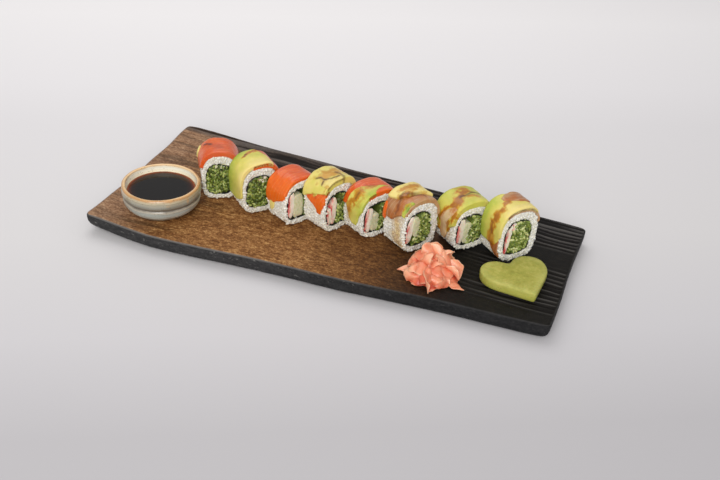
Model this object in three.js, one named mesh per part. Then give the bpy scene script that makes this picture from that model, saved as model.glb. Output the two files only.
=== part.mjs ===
// A uramaki platter: a long stoneware board with a dish of soy sauce, eight inside-out rolls in a
// slanting row, a heap of pickled ginger and a heart of wasabi paste.
// Millimetres, +Z up. X runs along the board, Y from its front edge to its back edge.

import * as THREE from "three";
import { mergeVertices } from "three/addons/utils/BufferGeometryUtils.js";

// The board: one slab on an inset foot. Its front edge runs out towards the left end.
const BOARD_LENGTH = 400;
const BOARD_TOP = 15;
const BOARD_FOOT_HEIGHT = 3.5;
const BOARD_FOOT_INSET = 18;
const BOARD_BACK_Y = 149.5;
const BOARD_BACK_FLARE = 5.5;
const BOARD_FRONT_LEFT_Y = -32;
const BOARD_FRONT_TAPER_START = 0.16;
const BOARD_LEFT_X = 14;
const BOARD_LEFT_LEAN = 15;
const BOARD_LEFT_LEAN_POWER = 1.6;
const BOARD_EDGE_WAVE = 0.7;
const BOARD_CORNER_POWER = 60;
const BOARD_CORNER_RISE = 2.5;
const BOARD_BOW_RISE = 3.5;
const BOARD_STEPS_LONG = 30;
const BOARD_STEPS_SHORT = 16;

// The clearance that pieces which touch keep between them.
const REST_GAP = 0.3;

// The sauce dish and its soy, both turned shapes.
const DISH_X = 59;
const DISH_Y = 12.7;
const DISH_RIM_RADIUS = 32.7;
const DISH_HEIGHT = 23.5;
const DISH_BASE_RADIUS = 24.5;
const DISH_WALL = 3.1;
const DISH_FLOOR = 5;
const DISH_GROOVE_HEIGHT = 13;
const DISH_GROOVE_DEPTH = 1.1;
const DISH_SIDES = 36;
const SOY_LEVEL = 16.6;

// The rolls: each is a slice of a rice log, domed above and squarer below. Its axis lies flat and its
// cut face looks along the axis. x and y are the slice's centre and turn is the axis' angle from +X.
const ROLL_SIDES = 36;
const ROLL_SQUARENESS = 3.4;
const ROLL_TOP_SQUARENESS = 2.6;
const ROLL_EDGE_ROUND = 2.2;
const ROLL_SETTLE = 0.8;
const ROLL_STATIONS = [0, 0.07, 0.32, 0.68, 0.93, 1];
const ROLLS = [
  { x: 90.6, y: 55.8, turn: -57.0, halfWidth: 17.4, rice: 42.8, length: 27.5, cap: 4.2, from: -10, to: 200 },
  { x: 129.0, y: 50.2, turn: -38.5, halfWidth: 17.5, rice: 43.4, length: 25.7, cap: 4.2, from: -8, to: 206 },
  { x: 165.8, y: 49.4, turn: -27.0, halfWidth: 19.0, rice: 41.4, length: 25.0, cap: 3.6, from: -5, to: 212 },
  { x: 197.0, y: 53.2, turn: -23.5, halfWidth: 18.2, rice: 44.0, length: 24.6, cap: 4.0, from: -5, to: 205 },
  { x: 231.6, y: 61.4, turn: -30.5, halfWidth: 20.2, rice: 39.6, length: 24.3, cap: 4.4, from: -5, to: 205 },
  { x: 268.4, y: 56.4, turn: -32.0, halfWidth: 18.4, rice: 44.6, length: 26.0, cap: 4.2, from: -5, to: 200 },
  { x: 306.8, y: 79.8, turn: -39.5, halfWidth: 19.0, rice: 40.6, length: 27.6, cap: 4.6, from: -12, to: 208 },
  { x: 345.2, y: 80.0, turn: -39.6, halfWidth: 19.2, rice: 46.6, length: 25.8, cap: 3.8, from: -5, to: 215 },
];

// The ginger heap: a folded mound with two thin tips lying on the board.
const GINGER_X = 303;
const GINGER_Y = 21;
const GINGER_HEIGHT = 23;
const GINGER_RADIUS = 21;
const GINGER_FOLD = 2.6;
const GINGER_TIPS = [
  { angle: 188, reach: 13, spread: 12 },
  { angle: -19, reach: 7, spread: 13 },
  { angle: 236, reach: 7, spread: 22 },
];
const GINGER_SIDES = 44;
const GINGER_RINGS = 8;

// The wasabi heart: a square standing on its tip with a lobe on each of its two far sides.
const HEART_TIP_X = 384;
const HEART_TIP_Y = 21;
const HEART_TURN = -3;
const HEART_SIDE = 32;
const HEART_LOBE = 18;
const HEART_TIP_ROUND = 3;
const HEART_THICKNESS = 8.5;
const HEART_BEVEL = 1.8;

const radians = THREE.MathUtils.degToRad;
const lerp = THREE.MathUtils.lerp;
const smoothstep = THREE.MathUtils.smoothstep;

const FINISHES = {
  stoneware: { color: 0x3a2a20, roughness: 0.45 },
  celadon: { color: 0x9aa39c, roughness: 0.35 },
  soy: { color: 0x140a07, roughness: 0.08 },
  roll: { color: 0xe6e2d6, roughness: 0.6 },
  ginger: { color: 0xe88f78, roughness: 0.35 },
  wasabi: { color: 0xa9a845, roughness: 0.75 },
};

function finish(name) {
  return new THREE.MeshStandardMaterial({ metalness: 0, ...FINISHES[name] });
}

function piece(name, geometry, finishName) {
  const mesh = new THREE.Mesh(geometry, finish(finishName));
  mesh.name = name;
  return mesh;
}

// A closed skin over rings of equal length, each counter-clockwise about the way the rings advance.
// The two ends are closed by fans about their middles.
function skin(rings) {
  const count = rings[0].length;
  const points = rings.flat();
  const index = [];
  for (let ring = 0; ring + 1 < rings.length; ring += 1) {
    for (let i = 0; i < count; i += 1) {
      const a = ring * count + i;
      const b = ring * count + ((i + 1) % count);
      index.push(a, b, b + count, a, b + count, a + count);
    }
  }
  const last = (rings.length - 1) * count;
  for (const [start, outward] of [[0, false], [last, true]]) {
    const middle = new THREE.Vector3();
    for (let i = 0; i < count; i += 1) middle.addScaledVector(points[start + i], 1 / count);
    points.push(middle);
    for (let i = 0; i < count; i += 1) {
      const a = start + i;
      const b = start + ((i + 1) % count);
      index.push(points.length - 1, outward ? a : b, outward ? b : a);
    }
  }
  const geometry = new THREE.BufferGeometry().setFromPoints(points);
  geometry.setIndex(index);
  geometry.computeVertexNormals();
  return geometry;
}

// Walks round the square from -1 to 1, counter-clockwise, with its corners rounded by a superellipse.
// The steps are shortest at the corners.
function roundedSquare(long, short, power) {
  const walk = [];
  const sweep = (i, steps) => -Math.cos((Math.PI * i) / steps);
  for (let i = 0; i < long; i += 1) walk.push([sweep(i, long), -1]);
  for (let i = 0; i < short; i += 1) walk.push([1, sweep(i, short)]);
  for (let i = 0; i < long; i += 1) walk.push([-sweep(i, long), 1]);
  for (let i = 0; i < short; i += 1) walk.push([-1, -sweep(i, short)]);
  return walk.map(([u, v]) => {
    const size = (Math.abs(u) ** power + Math.abs(v) ** power) ** (1 / power);
    return [u / size, v / size];
  });
}

function boardFrontY(along) {
  const taper = Math.max(0, along - BOARD_FRONT_TAPER_START) / (1 - BOARD_FRONT_TAPER_START);
  return BOARD_FRONT_LEFT_Y * (1 - taper) + BOARD_EDGE_WAVE * Math.sin(17 * along + 1);
}

function boardBackY(along) {
  return BOARD_BACK_Y + BOARD_BACK_FLARE * Math.exp(-((along / 0.2) ** 2)) + 0.4 * Math.sin(23 * along);
}

function boardLeftX(across) {
  return BOARD_LEFT_X - BOARD_LEFT_LEAN * across ** BOARD_LEFT_LEAN_POWER + 0.5 * Math.sin(19 * across);
}

function boardRightX(across) {
  return BOARD_LENGTH + 0.5 * Math.sin(8 * across);
}

function boardRing(inset, height, rise, cornerRise) {
  const depth = BOARD_BACK_Y - BOARD_FRONT_LEFT_Y;
  const walk = roundedSquare(BOARD_STEPS_LONG, BOARD_STEPS_SHORT, BOARD_CORNER_POWER);
  return walk.map(([u, v]) => {
    const along = 0.5 + 0.5 * u * (1 - (2 * inset) / BOARD_LENGTH);
    const across = 0.5 + 0.5 * v * (1 - (2 * inset) / depth);
    const x = lerp(boardLeftX(across), boardRightX(across), along);
    const y = lerp(boardFrontY(along), boardBackY(along), across);
    const bow = rise * Math.exp(-((along / 0.06) ** 2));
    const corner = cornerRise * Math.exp(-((along / 0.08) ** 2) - (across / 0.22) ** 2);
    return new THREE.Vector3(x, y, height + bow + corner);
  });
}

function board() {
  const rings = [
    boardRing(BOARD_FOOT_INSET + 1, 0, 0, 0),
    boardRing(BOARD_FOOT_INSET, BOARD_FOOT_HEIGHT, 0, 0),
    boardRing(5, BOARD_FOOT_HEIGHT + 0.3, BOARD_BOW_RISE, BOARD_CORNER_RISE),
    boardRing(1.6, BOARD_FOOT_HEIGHT + 2.2, BOARD_BOW_RISE, BOARD_CORNER_RISE),
    boardRing(0, BOARD_TOP - 3.5, 0, BOARD_CORNER_RISE),
    boardRing(0.1, BOARD_TOP - 1.1, 0, BOARD_CORNER_RISE),
    boardRing(1.1, BOARD_TOP, 0, BOARD_CORNER_RISE),
    boardRing(BOARD_FOOT_INSET, BOARD_TOP, 0, 0),
  ];
  return piece("board", skin(rings), "stoneware");
}

function turned(profile) {
  const points = profile.map(([radius, height]) => new THREE.Vector2(radius, height));
  const geometry = new THREE.LatheGeometry(points, DISH_SIDES);
  geometry.deleteAttribute("normal");
  geometry.deleteAttribute("uv");
  geometry.rotateX(Math.PI / 2);
  const merged = mergeVertices(geometry, 1e-3);
  merged.computeVertexNormals();
  return merged;
}

function dishInnerRadius(height) {
  const up = (height - DISH_FLOOR) / (DISH_HEIGHT - DISH_FLOOR);
  return (DISH_RIM_RADIUS - DISH_WALL) * Math.sin((0.28 + 0.72 * Math.max(0, up) ** 0.6) * (Math.PI / 2));
}

function dish() {
  const innerHeights = [DISH_HEIGHT - 1, SOY_LEVEL + 2, SOY_LEVEL - 3, DISH_FLOOR + 2.5, DISH_FLOOR + 0.6];
  const profile = [
    [0, 0],
    [DISH_BASE_RADIUS, 0],
    [DISH_BASE_RADIUS + 1.2, 1],
    [DISH_RIM_RADIUS - 2.2, 5.5],
    [DISH_RIM_RADIUS - 0.4, DISH_GROOVE_HEIGHT - 2.2],
    [DISH_RIM_RADIUS - DISH_GROOVE_DEPTH, DISH_GROOVE_HEIGHT - 0.4],
    [DISH_RIM_RADIUS - DISH_GROOVE_DEPTH + 0.2, DISH_GROOVE_HEIGHT + 0.5],
    [DISH_RIM_RADIUS + 0.4, DISH_GROOVE_HEIGHT + 2],
    [DISH_RIM_RADIUS, DISH_HEIGHT - 1.6],
    [DISH_RIM_RADIUS - 0.7, DISH_HEIGHT - 0.3],
    [DISH_RIM_RADIUS - 1.5, DISH_HEIGHT],
    ...innerHeights.map((height) => [dishInnerRadius(height), height]),
    [0, DISH_FLOOR],
  ];
  const mesh = piece("dish", turned(profile), "celadon");
  mesh.position.set(DISH_X, DISH_Y, BOARD_TOP + REST_GAP);
  return mesh;
}

function soy() {
  const heights = [DISH_FLOOR + 0.6, DISH_FLOOR + 2.5, SOY_LEVEL - 3, SOY_LEVEL];
  const profile = [
    [0, DISH_FLOOR + REST_GAP],
    ...heights.map((height) => [dishInnerRadius(height) - 2.2 * REST_GAP, height + REST_GAP]),
    [0, SOY_LEVEL + REST_GAP],
  ];
  const mesh = piece("soy", turned(profile), "soy");
  mesh.position.set(DISH_X, DISH_Y, BOARD_TOP + REST_GAP);
  return mesh;
}

// How far the draped fish and avocado stand out of the rice, round the section and along the slice.
function drape(spec, angle, along) {
  const degrees = THREE.MathUtils.euclideanModulo(THREE.MathUtils.radToDeg(angle) + 90, 360) - 90;
  const soft = 16;
  const starts = smoothstep(degrees, spec.from - soft, spec.from + soft);
  const ends = 1 - smoothstep(degrees, spec.to - soft, spec.to + soft);
  const bare = 1 - smoothstep(along, 0.86, 1);
  return spec.cap * starts * ends * bare;
}

function rollRing(spec, order, along) {
  const halfHeight = spec.rice / 2;
  const edge = Math.min(along, 1 - along) * spec.length;
  const trim = ROLL_EDGE_ROUND * (1 - smoothstep(edge, 0, ROLL_EDGE_ROUND));
  const ring = [];
  for (let i = 0; i < ROLL_SIDES; i += 1) {
    const angle = ((i + 0.5) / ROLL_SIDES) * 2 * Math.PI - Math.PI / 2;
    const u = Math.cos(angle);
    const v = Math.sin(angle);
    const power = v > 0 ? ROLL_TOP_SQUARENESS : ROLL_SQUARENESS;
    const size = (Math.abs(u) ** power + Math.abs(v) ** power) ** (1 / power);
    const sway = 1 + 0.018 * Math.sin(3 * angle + 1.7 * order) + 0.012 * Math.sin(2 * angle + 4 * along + order);
    const grow = drape(spec, angle, along);
    const sideShare = 0.35;
    const y = (u / size) * (spec.halfWidth - trim) * sway + u * grow * sideShare;
    const z = halfHeight + (v / size) * (halfHeight - trim * 0.6) * sway + Math.max(0, v) * grow;
    ring.push(new THREE.Vector3((along - 0.5) * spec.length, y, Math.max(0, z - ROLL_SETTLE)));
  }
  return ring;
}

function roll(spec, order) {
  const rings = ROLL_STATIONS.map((along) => rollRing(spec, order, along));
  const mesh = piece(`roll_${order}`, skin(rings), "roll");
  mesh.position.set(spec.x, spec.y, BOARD_TOP + REST_GAP);
  mesh.rotation.z = radians(spec.turn);
  return mesh;
}

function gingerReach(angle) {
  let reach = GINGER_RADIUS + 1.8 * Math.sin(3 * angle + 0.6) + 1.2 * Math.sin(7 * angle);
  for (const tip of GINGER_TIPS) {
    const off = THREE.MathUtils.euclideanModulo(angle - radians(tip.angle) + Math.PI, 2 * Math.PI) - Math.PI;
    reach += tip.reach * Math.exp(-((off / radians(tip.spread)) ** 2));
  }
  return reach;
}

function gingerHeight(share, angle) {
  const mound = GINGER_HEIGHT * (1 - share ** 2.3);
  const folds = Math.sin(5 * angle + 5 * share) + 0.5 * Math.sin(9 * angle - 6 * share);
  return Math.max(1.2, mound + GINGER_FOLD * folds * Math.sin(Math.PI * share));
}

function ginger() {
  const angles = Array.from({ length: GINGER_SIDES }, (_, i) => (i / GINGER_SIDES) * 2 * Math.PI);
  const ringAt = (share, height) =>
    angles.map((angle) => {
      const reach = gingerReach(angle) * share;
      return new THREE.Vector3(reach * Math.cos(angle), reach * Math.sin(angle), height(angle));
    });
  const rings = [ringAt(0.97, () => 0), ringAt(1, () => 0.8)];
  for (let i = 0; i < GINGER_RINGS; i += 1) {
    const share = 1 - i / GINGER_RINGS;
    rings.push(ringAt(share * 0.99, (angle) => gingerHeight(share, angle)));
  }
  const mesh = piece("ginger", skin(rings), "ginger");
  mesh.position.set(GINGER_X, GINGER_Y, BOARD_TOP + REST_GAP);
  return mesh;
}

function heart() {
  const side = HEART_SIDE - 2 * HEART_BEVEL;
  const half = side / 2;
  const lobe = HEART_LOBE - HEART_BEVEL;
  const outline = new THREE.Shape();
  outline.moveTo(0, HEART_TIP_ROUND);
  outline.lineTo(0, side);
  outline.absellipse(-half, side, half, lobe, 0, Math.PI, false, 0);
  outline.absellipse(-side, half, lobe, half, Math.PI / 2, 1.5 * Math.PI, false, 0);
  outline.lineTo(-HEART_TIP_ROUND, 0);
  outline.absarc(-HEART_TIP_ROUND, HEART_TIP_ROUND, HEART_TIP_ROUND, -Math.PI / 2, 0, false);
  const extruded = new THREE.ExtrudeGeometry(outline, {
    depth: HEART_THICKNESS - 2 * HEART_BEVEL,
    curveSegments: 14,
    bevelThickness: HEART_BEVEL,
    bevelSize: HEART_BEVEL,
    bevelSegments: 2,
  });
  extruded.deleteAttribute("normal");
  extruded.deleteAttribute("uv");
  const geometry = mergeVertices(extruded, 1e-3);
  geometry.translate(-HEART_BEVEL, HEART_BEVEL, HEART_BEVEL);
  geometry.computeVertexNormals();
  const mesh = piece("wasabi_heart", geometry, "wasabi");
  mesh.position.set(HEART_TIP_X, HEART_TIP_Y, BOARD_TOP + REST_GAP);
  mesh.rotation.z = radians(HEART_TURN);
  return mesh;
}

const platter = new THREE.Group();
platter.add(board(), dish(), soy(), ginger(), heart());
ROLLS.forEach((spec, i) => platter.add(roll(spec, i + 1)));

// The platter's origin is under its middle, on the surface it stands on.
const extent = new THREE.Box3().setFromObject(platter);
const middle = extent.getCenter(new THREE.Vector3());
platter.position.set(-middle.x, -middle.y, -extent.min.z);

export default platter;
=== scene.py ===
"""An uramaki platter: eight dressed rolls in a slanting row on a stoneware board.

With them come a dish of soy, a heap of pickled ginger and a wasabi heart.
"""

import math

import bmesh
import bpy
import numpy as np
from mathutils import Matrix, Vector


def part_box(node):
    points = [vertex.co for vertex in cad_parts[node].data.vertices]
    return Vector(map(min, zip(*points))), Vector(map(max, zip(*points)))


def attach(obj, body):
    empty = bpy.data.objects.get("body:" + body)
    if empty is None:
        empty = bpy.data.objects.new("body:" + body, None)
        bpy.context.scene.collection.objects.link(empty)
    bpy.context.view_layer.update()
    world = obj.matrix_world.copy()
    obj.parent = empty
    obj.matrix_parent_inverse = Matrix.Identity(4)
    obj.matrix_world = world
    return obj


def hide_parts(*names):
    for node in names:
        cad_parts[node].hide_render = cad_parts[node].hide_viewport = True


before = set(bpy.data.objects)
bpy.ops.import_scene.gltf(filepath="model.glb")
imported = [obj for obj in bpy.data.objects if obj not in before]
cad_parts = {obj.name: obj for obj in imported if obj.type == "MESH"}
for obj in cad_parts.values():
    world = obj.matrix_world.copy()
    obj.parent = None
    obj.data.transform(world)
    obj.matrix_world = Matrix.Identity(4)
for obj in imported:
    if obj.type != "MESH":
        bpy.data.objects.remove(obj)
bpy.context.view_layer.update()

MM = 0.001
FULL_TURN = 2 * math.pi


# ---------------------------------------------------------------- colours and finishes


def paint(red, green, blue):
    """A paint chip's red, green and blue, 0 to 255, as the linear light that shaders mix."""
    light = []
    for part in (red, green, blue):
        share = part / 255
        light.append(share / 12.92 if share < 0.04 else ((share + 0.055) / 1.055) ** 2.4)
    return (*light, 1.0)


def plug(socket, value):
    """Links a worked-out value or a node's output to a socket, or sets the socket to a plain value."""
    source = getattr(value, "socket", value)
    if isinstance(source, bpy.types.NodeSocket):
        socket.id_data.links.new(source, socket)
    else:
        socket.default_value = value


def add_node(tree, kind, settings=None, sockets=None):
    """Any node: its settings first, then the values or links of its sockets."""
    node = tree.nodes.new(kind)
    for name, value in (settings or {}).items():
        if name == "stops":
            elements = node.color_ramp.elements
            while len(elements) < len(value):
                elements.new(1.0)
            for element, (place, colour) in zip(elements, value):
                element.position = place
                element.color = colour
        else:
            setattr(node, name, value)
    for name, value in (sockets or {}).items():
        plug(node.inputs[name], value)
    return node


class Value:
    """One number that varies over a surface, written in sums as a plain number is."""

    def __init__(self, socket):
        self.socket = socket

    def maths(self, operation, *operands, clamp=False):
        node = self.socket.id_data.nodes.new("ShaderNodeMath")
        node.operation = operation
        node.use_clamp = clamp
        for socket, operand in zip(node.inputs, operands):
            plug(socket, operand)
        return Value(node.outputs[0])

    def __add__(self, other):
        return self.maths("ADD", self, other)

    def __sub__(self, other):
        return self.maths("SUBTRACT", self, other)

    def __rsub__(self, other):
        return self.maths("SUBTRACT", other, self)

    def __mul__(self, other):
        return self.maths("MULTIPLY", self, other)

    __radd__ = __add__
    __rmul__ = __mul__

    def held(self):
        """The value kept between 0 and 1."""
        return self.maths("ADD", self, 0.0, clamp=True)

    def sine(self):
        return self.maths("SINE", self)

    def above(self, start, full):
        """0 below start, 1 past full, and an even ramp between."""
        return self.maths("MULTIPLY", self - start, 1 / (full - start), clamp=True)


class Finish:
    """A material: one Principled shader whose sockets are worked out by the methods below."""

    def __init__(self, name, **sockets):
        self.material = bpy.data.materials.new(name)
        self.material.use_nodes = True
        self.tree = self.material.node_tree
        self.tree.nodes.clear()
        self.shader = add_node(self.tree, "ShaderNodeBsdfPrincipled")
        output = add_node(self.tree, "ShaderNodeOutputMaterial")
        self.tree.links.new(self.shader.outputs["BSDF"], output.inputs["Surface"])
        self.wear(**sockets)

    def wear(self, **sockets):
        """Sets or links the shader's sockets, named with _ for a space."""
        for name, value in sockets.items():
            plug(self.shader.inputs[name.replace("_", " ")], value)

    def value(self, kind, output, settings=None, sockets=None):
        """One output of a new node."""
        return Value(add_node(self.tree, kind, settings, sockets).outputs[output])

    def place(self, scale=(1, 1, 1)):
        """The point's own place in metres, stretched by scale."""
        own = self.value("ShaderNodeTexCoord", "Object")
        return self.value("ShaderNodeMapping", "Vector", None, {"Vector": own, "Scale": scale})

    def noise(self, per_metre, detail=2.0, roughness=0.5, stretch=(1, 1, 1)):
        """Cloudy variation, about 0.2 to 0.8, per_metre clouds to the metre."""
        sockets = {
            "Vector": self.place(stretch), "Scale": per_metre, "Detail": detail, "Roughness": roughness,
        }
        return self.value("ShaderNodeTexNoise", "Fac", None, sockets)

    def cells(self, per_metre, stretch=(1, 1, 1)):
        """Distance to the nearest of scattered specks, in cells."""
        sockets = {"Vector": self.place(stretch), "Scale": per_metre}
        return self.value("ShaderNodeTexVoronoi", "Distance", None, sockets)

    def axis(self, name):
        """One coordinate of the point's own place, in metres."""
        own = self.value("ShaderNodeTexCoord", "Object")
        return self.value("ShaderNodeSeparateXYZ", name, None, {"Vector": own})

    def marks(self, *names):
        """Values that the mesh carries at each point."""
        return [self.value("ShaderNodeAttribute", "Fac", {"attribute_name": name}) for name in names]

    def ramp(self, value, *stops):
        """A colour looked up along stops of (place, red, green, blue)."""
        stops = [(place, paint(*chip)) for place, *chip in stops]
        return self.value("ShaderNodeValToRGB", "Color", {"stops": stops}, {"Fac": value})

    def mix(self, share, first, second):
        """first turning to second as share goes from 0 to 1."""
        return self.value("ShaderNodeMix", 2, {"data_type": "RGBA"}, {0: share, 6: first, 7: second})

    def coats(self, colour, *coats):
        """A colour with paints laid over it, each as (share, red, green, blue)."""
        for share, *chip in coats:
            colour = self.mix(share, colour, paint(*chip))
        return colour

    def bump(self, height, depth, strength=1.0):
        """Small relief of that depth in metres, where height is 0 to 1."""
        sockets = {"Height": height, "Distance": depth, "Strength": strength}
        self.wear(Normal=self.value("ShaderNodeBump", "Normal", None, sockets))


def moist(name, gloss, share, depth, tint=(1.0, 0.2, 0.1), **sockets):
    """A damp finish: the share of light that sinks in, how deep in metres, and its tint on the way."""
    return Finish(
        name, Specular_IOR_Level=gloss, Subsurface_Weight=share, Subsurface_Scale=depth,
        Subsurface_Radius=tint, **sockets,
    )


# ---------------------------------------------------------------- mesh tools


# After so many units the hills below repeat, which closes them round a full turn.
WAVE_PERIOD = 32


def waves(seed, *axes):
    """Smooth random hills from -1 to 1, one unit apart along each axis."""
    table = np.random.default_rng(seed).uniform(-1, 1, (WAVE_PERIOD,) * len(axes))
    cell = [np.floor(axis).astype(int) for axis in axes]
    part = [axis - low for axis, low in zip(axes, cell)]
    part = [p * p * (3 - 2 * p) for p in part]
    total = 0
    for corner in np.ndindex(*(2,) * len(axes)):
        weight = 1
        for p, side in zip(part, corner):
            weight = weight * (p if side else 1 - p)
        total = total + weight * table[tuple((c + s) % WAVE_PERIOD for c, s in zip(cell, corner))]
    return total


def ease(value, start=0.0, full=1.0):
    """0 before start, 1 past full, smooth between."""
    share = np.clip((value - start) / (full - start), 0, 1)
    return share * share * (3 - 2 * share)


def around(radius, angle, height):
    """Points at a radius and an angle round an upright line, and at a height along it."""
    return np.stack([radius * np.cos(angle), radius * np.sin(angle), height], -1)


def foot_of(node):
    """The middle of the underside of a plain solid's box, in millimetres."""
    low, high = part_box(node)
    return np.array([(low.x + high.x) / 2, (low.y + high.y) / 2, low.z]) / MM


def net(rows, columns, start=0, close_rows=False, close_columns=False):
    """The four-sided faces of a net of points, rows by columns."""
    row = np.arange(rows if close_rows else rows - 1)
    column = np.arange(columns if close_columns else columns - 1)
    row, column = (part.ravel() for part in np.meshgrid(row, column, indexing="ij"))
    next_row, next_column = (row + 1) % rows, (column + 1) % columns
    corners = [
        row * columns + column, next_row * columns + column, next_row * columns + next_column,
        row * columns + next_column,
    ]
    return (start + np.stack(corners, -1)).tolist()


class Shell:
    """Points and faces of a piece in the making, with the marks its points carry."""

    def __init__(self, *mark_names):
        self.points = []
        self.faces = []
        self.marks = {name: [] for name in mark_names}
        self.count = 0

    def add(self, points, faces, **marks):
        """Takes in points (any leading shape, 3 wide) and the faces between them, counted from 0."""
        points = np.asarray(points, float).reshape(-1, 3)
        self.faces += [[corner + self.count for corner in face] for face in faces]
        self.points.append(points)
        for name, kept in self.marks.items():
            kept.append(np.broadcast_to(np.asarray(marks.get(name, 0.0), float).ravel(), len(points)))
        self.count += len(points)

    def lathe(self, rings, close=False, **marks):
        """Loops of points joined one to the next; open ends are capped, or the last joins the first."""
        rings = np.asarray(rings, float)
        rows, columns = rings.shape[:2]
        faces = net(rows, columns, 0, close, True)
        if not close:
            faces.append(list(range(columns)))
            faces.append(list(range((rows - 1) * columns, rows * columns))[::-1])
        self.add(rings, faces, **{name: np.broadcast_to(m, (rows, columns)) for name, m in marks.items()})

    def sheet(self, top, bottom, **marks):
        """A thin slab between two nets of points, walled round its edge."""
        rows, columns = top.shape[:2]
        size = rows * columns
        faces = net(rows, columns) + [face[::-1] for face in net(rows, columns, size)]
        rim = list(range(columns))
        rim += [r * columns + columns - 1 for r in range(1, rows)]
        rim += [(rows - 1) * columns + c for c in range(columns - 2, -1, -1)]
        rim += [r * columns for r in range(rows - 2, 0, -1)]
        for here, after in zip(rim, rim[1:] + rim[:1]):
            faces.append([here, after, after + size, here + size])
        both = {
            n: np.concatenate([np.broadcast_to(m, (rows, columns)).ravel()] * 2) for n, m in marks.items()
        }
        self.add(np.concatenate([top.reshape(-1, 3), bottom.reshape(-1, 3)]), faces, **both)

    def piece(self, name, finish, crease=35):
        """The finished object: closed, facing outwards, smooth but for edges sharper than crease degrees."""
        mesh = bpy.data.meshes.new(name)
        mesh.from_pydata(np.concatenate(self.points).tolist(), [], self.faces)
        for mark, kept in self.marks.items():
            attribute = mesh.attributes.new(mark, "FLOAT", "POINT")
            attribute.data.foreach_set("value", np.concatenate(kept).astype(np.float32))
        work = bmesh.new()
        work.from_mesh(mesh)
        bmesh.ops.recalc_face_normals(work, faces=work.faces)
        work.to_mesh(mesh)
        work.free()
        mesh.shade_smooth()
        mesh.set_sharp_from_angle(angle=math.radians(crease))
        mesh.materials.append(finish.material)
        piece = bpy.data.objects.new(name, mesh)
        bpy.context.scene.collection.objects.link(piece)
        return piece


def serve(piece, slot, *stands_for):
    """Sets a finished piece on the board: it rides with the platter and stands for its plain solids."""
    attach(piece, "root")
    if stands_for:
        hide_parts(*stands_for)
    return piece


# ---------------------------------------------------------------- geometry nodes


class Recipe:
    """A geometry node tree with named inputs."""

    def __init__(self, name, **inputs):
        self.tree = bpy.data.node_groups.new(name, "GeometryNodeTree")
        face = self.tree.interface
        face.new_socket("Geometry", in_out="INPUT", socket_type="NodeSocketGeometry")
        for label, kind in inputs.items():
            face.new_socket(label.replace("_", " "), in_out="INPUT", socket_type="NodeSocket" + kind)
        face.new_socket("Geometry", in_out="OUTPUT", socket_type="NodeSocketGeometry")
        self.given = add_node(self.tree, "NodeGroupInput")
        self.result = add_node(self.tree, "NodeGroupOutput")

    def out(self, kind, output, settings=None, sockets=None):
        """One output of a new node."""
        return add_node(self.tree, kind, settings, sockets).outputs[output]

    def use(self, piece, **settings):
        """Runs the recipe on a piece and leaves its result as the piece's own plain mesh."""
        modifier = piece.modifiers.new(self.tree.name, "NODES")
        modifier.node_group = self.tree
        for item in self.tree.interface.items_tree:
            key = item.name.replace(" ", "_")
            if item.in_out == "INPUT" and key in settings:
                modifier[item.identifier] = settings[key]
        evaluated = piece.evaluated_get(bpy.context.evaluated_depsgraph_get())
        mesh = bpy.data.meshes.new_from_object(evaluated)
        mesh.name = piece.name
        piece.modifiers.clear()
        piece.data = mesh
        return piece


SCATTER_DENSITY = 600000.0


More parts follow.
